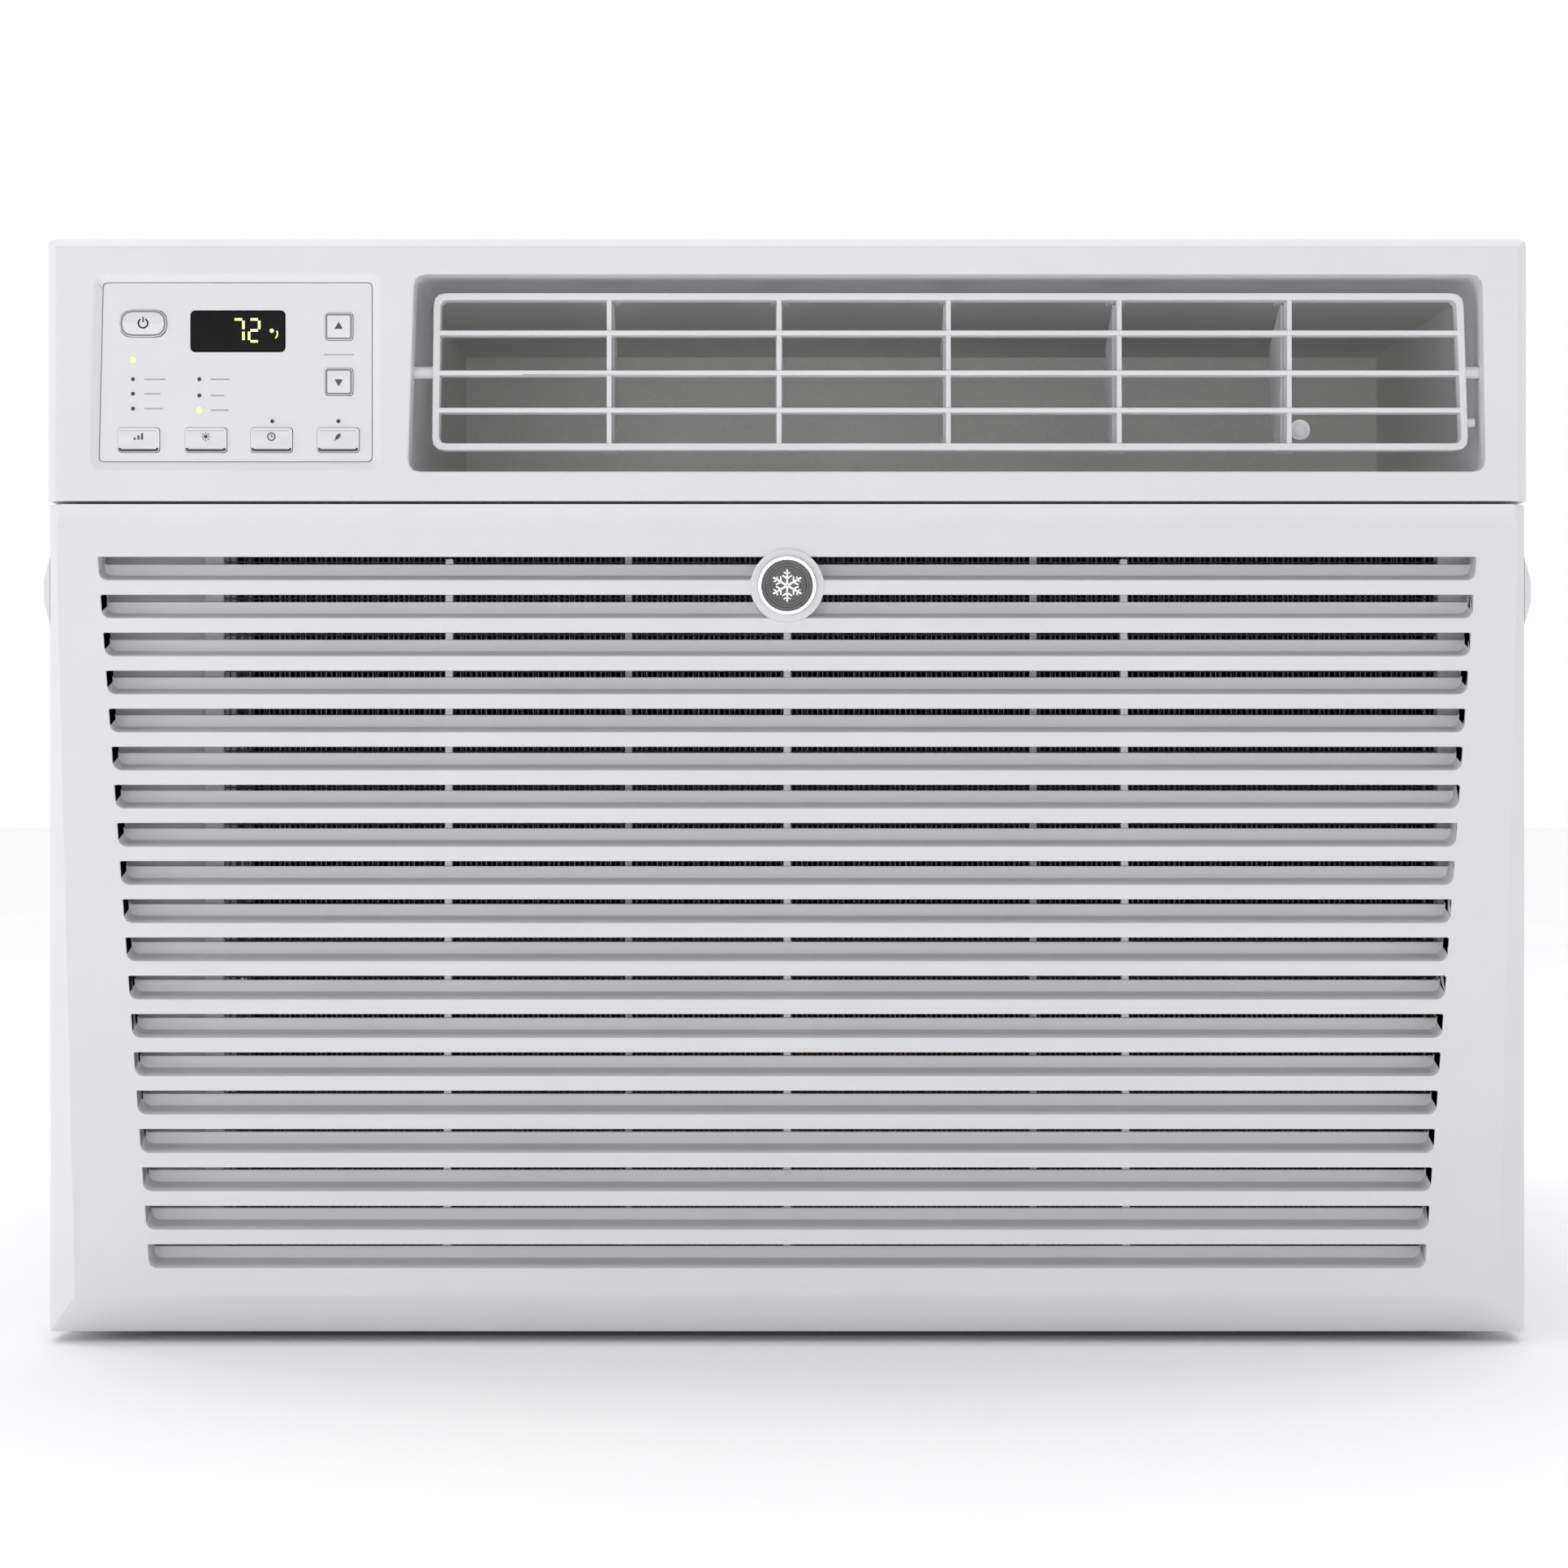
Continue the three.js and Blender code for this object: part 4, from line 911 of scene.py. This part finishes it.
def low_marks():
    """Plain signs on the four lower keys: rising bars, a sun, a clock and a leaf."""
    x = {node: middle_of(node)[0] for node in ("fan_speed_key", "mode_key", "timer_key", "energy_saver_key")}
    rising = []
    for n in range(3):
        tall = 0.9 * (n + 1)
        spot = (x["fan_speed_key"] + 1.5 * (n - 1), LABEL_Z - 1.3 + tall / 2)
        rising.append(printed_bar(KEY_FRONT, spot, (0.8, tall)))
    printed("fan_speed_mark", rising, "fan_speed_key", dark_ink_and_painted_shadow)
    sun = [printed_wedge(KEY_FRONT, (x["mode_key"], LABEL_Z), 0.75, None)]
    for ray in range(8):
        angle = ray * math.pi / 4
        spot = (x["mode_key"] + 1.45 * math.cos(angle), LABEL_Z - 1.45 * math.sin(angle))
        sun.append(printed_bar(KEY_FRONT, spot, (0.7, 0.3), math.degrees(angle)))
    printed("mode_mark", sun, "mode_key", dark_ink_and_painted_shadow)
    clock = [
        printed_arc(KEY_FRONT, (x["timer_key"], LABEL_Z), 1.5, 0.35, 0, -360),
        printed_bar(KEY_FRONT, (x["timer_key"], LABEL_Z + 0.45), (0.3, 1.0)),
        printed_bar(KEY_FRONT, (x["timer_key"] + 0.3, LABEL_Z), (0.75, 0.3)),
    ]
    printed("timer_mark", clock, "timer_key", dark_ink_and_painted_shadow)
    leaf = printed_wedge(KEY_FRONT, (0, 0), 1.5, None)
    leaf.data.transform(Matrix.Diagonal((0.5, 1, 1, 1)))
    leaf.data.transform(Matrix.Rotation(math.radians(40), 4, "Y"))
    leaf.data.transform(Matrix.Translation(Vector((x["energy_saver_key"], 0, LABEL_Z)) * MM))
    stem = printed_bar(KEY_FRONT, (x["energy_saver_key"] - 1.1, LABEL_Z - 1.2), (0.3, 1.4), 40)
    printed("energy_saver_mark", [leaf, stem], "energy_saver_key", dark_ink_and_painted_shadow)


low_marks()


def lamp_ticks():
    """Plain dashes beside the lamps, as scale marks."""
    dashes = [
        (LAMP_SPOTS["dark"][row][0] + 4.6 + length / 2, LAMP_SPOTS["dark"][row][1], length)
        for row, length in ((0, 8.5), (1, 6.5), (2, 7.5), (3, 7.5), (4, 5.5))
    ]
    dashes.append((-238.4 + 4.6 + 3.6, 378.4, 7.2))
    dashes.append((-181.8, 400.9, 12.0))
    return [printed_bar(FASCIA_FRONT, (x, z), (length, 0.6)) for x, z, length in dashes]


printed("lamp_scale_marks", lamp_ticks(), "chassis", pale_ink)


LAMP_RIM = 1.75


def lamp_lens(spot, radius, glass):
    """A low domed lens in a rim of the fascia's white: a short cylinder, its front inset and pushed out."""
    lens = bar("lens", "Y", (spot[0], FASCIA_FRONT - 0.02, spot[1]), LAMP_RIM, 0.4, 24)
    lens.data.materials.append(white_abs)
    lens.data.materials.append(glass)
    open_up(lens)
    pick(lens, "FACE", faces_front)
    bpy.ops.mesh.inset(thickness=(LAMP_RIM - radius) * MM)
    lens.active_material_index = 1
    bpy.ops.object.material_slot_assign()
    for share in (0.35, 0.3):
        bpy.ops.mesh.inset(thickness=radius * share * MM)
        bpy.ops.transform.translate(value=(0, -0.1 * MM, 0))
    close_up()
    return smooth(lens)


dark_lenses = [lamp_lens(spot, 0.85, smoked_lens) for spot in LAMP_SPOTS["dark"] + LAMP_SPOTS["low"]]
finished(joined(dark_lenses, "unlit_lamp_lenses"), "chassis", "lamp_guide")
lit_lenses = [lamp_lens(spot, 1.25, lit_lens) for spot in LAMP_SPOTS["lit"]]
finished(joined(lit_lenses, "lit_lamp_lenses"), "chassis", "lamp_guide")


def digit(x, z, wide, high, line, lit):
    """A seven-segment figure: lit names its segments a to g."""
    front = DISPLAY["front"]
    across, mid = wide / 2, high / 2
    places = {
        "a": ((x + across, z + high), (wide - line, line)),
        "g": ((x + across, z + mid), (wide - line, line)),
        "d": ((x + across, z), (wide - line, line)),
        "f": ((x, z + mid * 1.5), (line, mid - line)),
        "b": ((x + wide, z + mid * 1.5), (line, mid - line)),
        "e": ((x, z + mid * 0.5), (line, mid - line)),
        "c": ((x + wide, z + mid * 0.5), (line, mid - line)),
    }
    return [printed_bar(front, *places[segment]) for segment in lit]


reading = digit(-224.6, 406.3, 4.1, 8.9, 1.05, "abc") + digit(-218.2, 406.3, 4.1, 8.9, 1.05, "abged")
reading.append(printed_wedge(DISPLAY["front"], (-209, 410.6), 0.85, None))
reading.append(printed_arc(DISPLAY["front"], (-209, 409.4), 2.3, 0.5, 50, 80))
printed("display_reading", reading, "chassis", lit_segment)

# ---------------------------------------------------------------- cabinet

stands_for(ease(merged("cabinet_wrap", y=(123, 195)), 0.5, 2), "cabinet_wrap")
GUARD_COLUMNS = [-280 + 560 / 6 * (column + 0.5) for column in range(6)]
stands_for(ease(merged("rear_guard", x=GUARD_COLUMNS), 0.9, 2), "rear_guard")
stands_for(ease(merged("base_pan", x=(-150,)), 0.7, 2), "base_pan")
stands_for(ease(merged("cord_gland", z=(42,)), 0.4, 2), "cord_gland")
stands_for(ease(merged("drain_plug"), 0.4, 2), "drain_plug")


def louvre_hood(side, z, y):
    """A pressed hood over one slot: a thin wedge, open below and closed at its tapered ends."""
    out = SHELL_HALF * side
    top, foot = z + SIDE_SLOTS["height"] + 3.5, z - 0.5
    hood = block("hood", (out, out + 4.2 * side), (y[0] - 2, y[1] + 2), (foot, top))
    open_up(hood)

    def outer_top(vert):
        return abs(vert.co.x) > (SHELL_HALF + 4) * MM and vert.co.z > (top - 1) * MM

    pick(hood, "VERT", outer_top)
    bpy.ops.transform.translate(value=(-3.9 * side * MM, 0, 0))
    middle = Vector((0, (y[0] + y[1]) / 2 * MM, 0))
    pick(hood, "VERT", lambda vert: abs(vert.co.x) > (SHELL_HALF + 4) * MM)
    bpy.ops.transform.resize(value=(1, 0.9, 1), center_override=middle)
    pick(hood, "FACE", lambda face: face.normal.z < -0.9 or face.normal.x * side < -0.9)
    bpy.ops.mesh.delete(type="FACE")
    close_up()
    wall = hood.modifiers.new("sheet", "SOLIDIFY")
    wall.thickness = 0.9 * MM
    wall.offset = -1
    bpy.ops.object.modifier_apply(modifier=wall.name)
    return ease(hood, 0.35, 2)


for side, name in ((-1, "left"), (1, "right")):
    first = louvre_hood(side, SIDE_SLOTS["z"][0], SIDE_SLOTS["y"][0])
    hoods = [first]
    for z in SIDE_SLOTS["z"]:
        for y in SIDE_SLOTS["y"]:
            shift = (0, y[0] - SIDE_SLOTS["y"][0][0], z - SIDE_SLOTS["z"][0])
            if any(shift):
                hoods.append(copied(first, "hood_twin", shift))
    finished(joined(hoods, f"louvre_hoods_{name}"), "chassis", "painted_steel")


def screw(centre, axis, direction):
    """A hex washer-head screw seen from outside: a flange, a six-sided head and a recess in its top."""
    turn = {"X": 0, "Y": 1, "Z": 2}[axis]

    def at(depth):
        spot = list(centre)
        spot[turn] += direction * depth
        return spot

    flange = bar("screw_flange", axis, at(0.5), 5.0, 1.0, 28)
    head = bar("screw_head", axis, at(2.1), 3.6, 2.6, 6)
    outward = [0, 0, 0]
    outward[turn] = direction
    outward = Vector(outward)
    open_up(head)
    pick(head, "FACE", lambda face: face.normal.dot(outward) > 0.9)
    bpy.ops.mesh.inset(thickness=0.9 * MM)
    bpy.ops.mesh.extrude_region_move(TRANSFORM_OT_translate={"value": tuple(-outward * 0.8 * MM)})
    close_up()
    ease(head, 0.25, 2)
    ease(flange, 0.3, 2)
    return joined([flange, head], "screw")


rear_screws = [screw((x, GUARD_REAR, z), "Y", 1) for x in (-281.5, 281.5) for z in (9.5, 219, 428.5)]
finished(joined(rear_screws, "guard_screws"), "chassis", "bright_steel", plated_steel)
side_screws = []
for side in (-1, 1):
    for z, y in ((14, -200), (14, 20), (14, 270), (420, 285), (230, 285)):
        side_screws.append(screw((SHELL_HALF * side, y, z), "X", side))
finished(joined(side_screws, "cabinet_screws"), "chassis", "bright_steel", plated_steel)

# ---------------------------------------------------------------- coils


def fin_pack(name, coil, rows):
    """Folded foil fins on copper tubes, between two end plates."""
    (x0, x1), (y0, y1), (z0, z1) = coil["x"], coil["y"], coil["z"]
    fin = block("fin", (x0 + 1, x0 + 1 + FIN_THICK), (y0 + 0.4, y1 - 0.4), (z0 + 0.5, z1 - 0.5))
    open_up(fin)
    for share in (0.25, 0.5, 0.75):
        bpy.ops.mesh.select_all(action="SELECT")
        cut = (y0 + share * (y1 - y0)) * MM
        bpy.ops.mesh.bisect(plane_co=(0, cut, 0), plane_no=(0, 1, 0))
    folds = [(y0 + share * (y1 - y0)) * MM for share in (0.25, 0.75)]
    pick(fin, "VERT", lambda vert: any(abs(vert.co.y - fold) < 0.1 * MM for fold in folds))
    bpy.ops.transform.translate(value=(0.7 * MM, 0, 0))
    close_up()
    row = fin.modifiers.new("row", "ARRAY")
    row.use_relative_offset = False
    row.use_constant_offset = True
    row.constant_offset_displace = (FIN_PITCH * MM, 0, 0)
    row.count = int((x1 - x0 - 3) / FIN_PITCH) + 1
    bpy.ops.object.modifier_apply(modifier=row.name)
    fin.data.materials.append(fin_stock)
    plate_z = (max(z0 - 6, CONDENSER["z"][0]), z1 + 2)
    ends = [block("end", span, (y0 + 0.5, y1 - 0.5), plate_z) for span in ((x0 - 2, x0), (x1, x1 + 2))]
    for end in ends:
        ease(end, 0.5, 2)
        end.data.materials.append(fin_stock)
    pitch = (z1 - z0) / rows
    tubes = []
    for n in range(rows):
        centre = ((x0 + x1) / 2, (y0 + y1) / 2, z0 + pitch * (n + 0.5))
        tube = smooth(bar("tube", "X", centre, 4.2, x1 - x0, 14))
        tube.data.materials.append(copper)
        tubes.append(tube)
    return joined([fin, *ends, *tubes], name)


stands_for(fin_pack("evaporator_fin_pack", EVAPORATOR, 9), "evaporator_coil")
stands_for(fin_pack("condenser_fin_pack", CONDENSER, 12), "condenser_coil")

# ---------------------------------------------------------------- working parts inside

# node: width of its eased edges, how many facets they have, and a plane in X through its windows
INSIDE = {
    "blower_inlet_ring": (0.4, 1, 95),
    "control_box": (0.4, 1, -225),
    "bulkhead": (0.5, 1, 95),
    "fan_shroud": (0.6, 2, 95),
    "motor_bracket": (0.6, 2, 95),
    "fan_motor": (1.5, 3, 95),
    "compressor": (1.0, 2),
    "run_capacitor": (0.8, 2),
    "evaporator_return_bends": (0.3, 1),
    "condenser_return_bends": (0.3, 1),
    "discharge_duct": (1.2, 2, 157),
    "blower_scroll": (1.2, 2, 105),
    "control_board": (0.2, 1),
    "compressor_grommet_1": (0.8, 2),
    "compressor_grommet_2": (0.8, 2),
    "compressor_grommet_3": (0.8, 2),
    "compressor_terminal_cover": (1.0, 3),
    "suction_accumulator": (1.0, 2),
    "motor_shaft": (0.6, 2),
    "blower_wheel": (0.4, 1, 95),
    "condenser_fan": (0.6, 2, 95),
}
for node, (width, facets, *window) in INSIDE.items():
    middle = middle_of(node)[0]
    stands_for(ease(merged(node, x=window or (middle,)), width, facets), node)

for node in ("suction_line", "discharge_line", "capillary_tube"):
    tube = merged(node)
    only(tube)
    rounder = tube.modifiers.new("rounder", "SUBSURF")
    rounder.levels = rounder.render_levels = 1
    bpy.ops.object.modifier_apply(modifier=rounder.name)
    stands_for(smooth(tube), node)

# ---------------------------------------------------------------- floor


def floor():
    """A pale sheet of studio paper, flat and wide."""
    bpy.ops.object.select_all(action="DESELECT")
    bpy.ops.mesh.primitive_plane_add(size=1, location=(0, 0, 0), scale=(1, 1, 1))
    sweep = bpy.context.object
    sweep.name = "studio_paper"
    open_up(sweep)
    bpy.ops.mesh.select_all(action="SELECT")
    bpy.ops.transform.resize(value=(30, 30, 1))
    bpy.ops.mesh.subdivide(number_cuts=3)
    close_up()
    made, shader, place = begun("studio_paper", Roughness=0.9)
    mottled(made, shader, place, ("fafafb", "f7f7f9"), 400)
    sweep.data.materials.append(made)


floor()

only(camera)
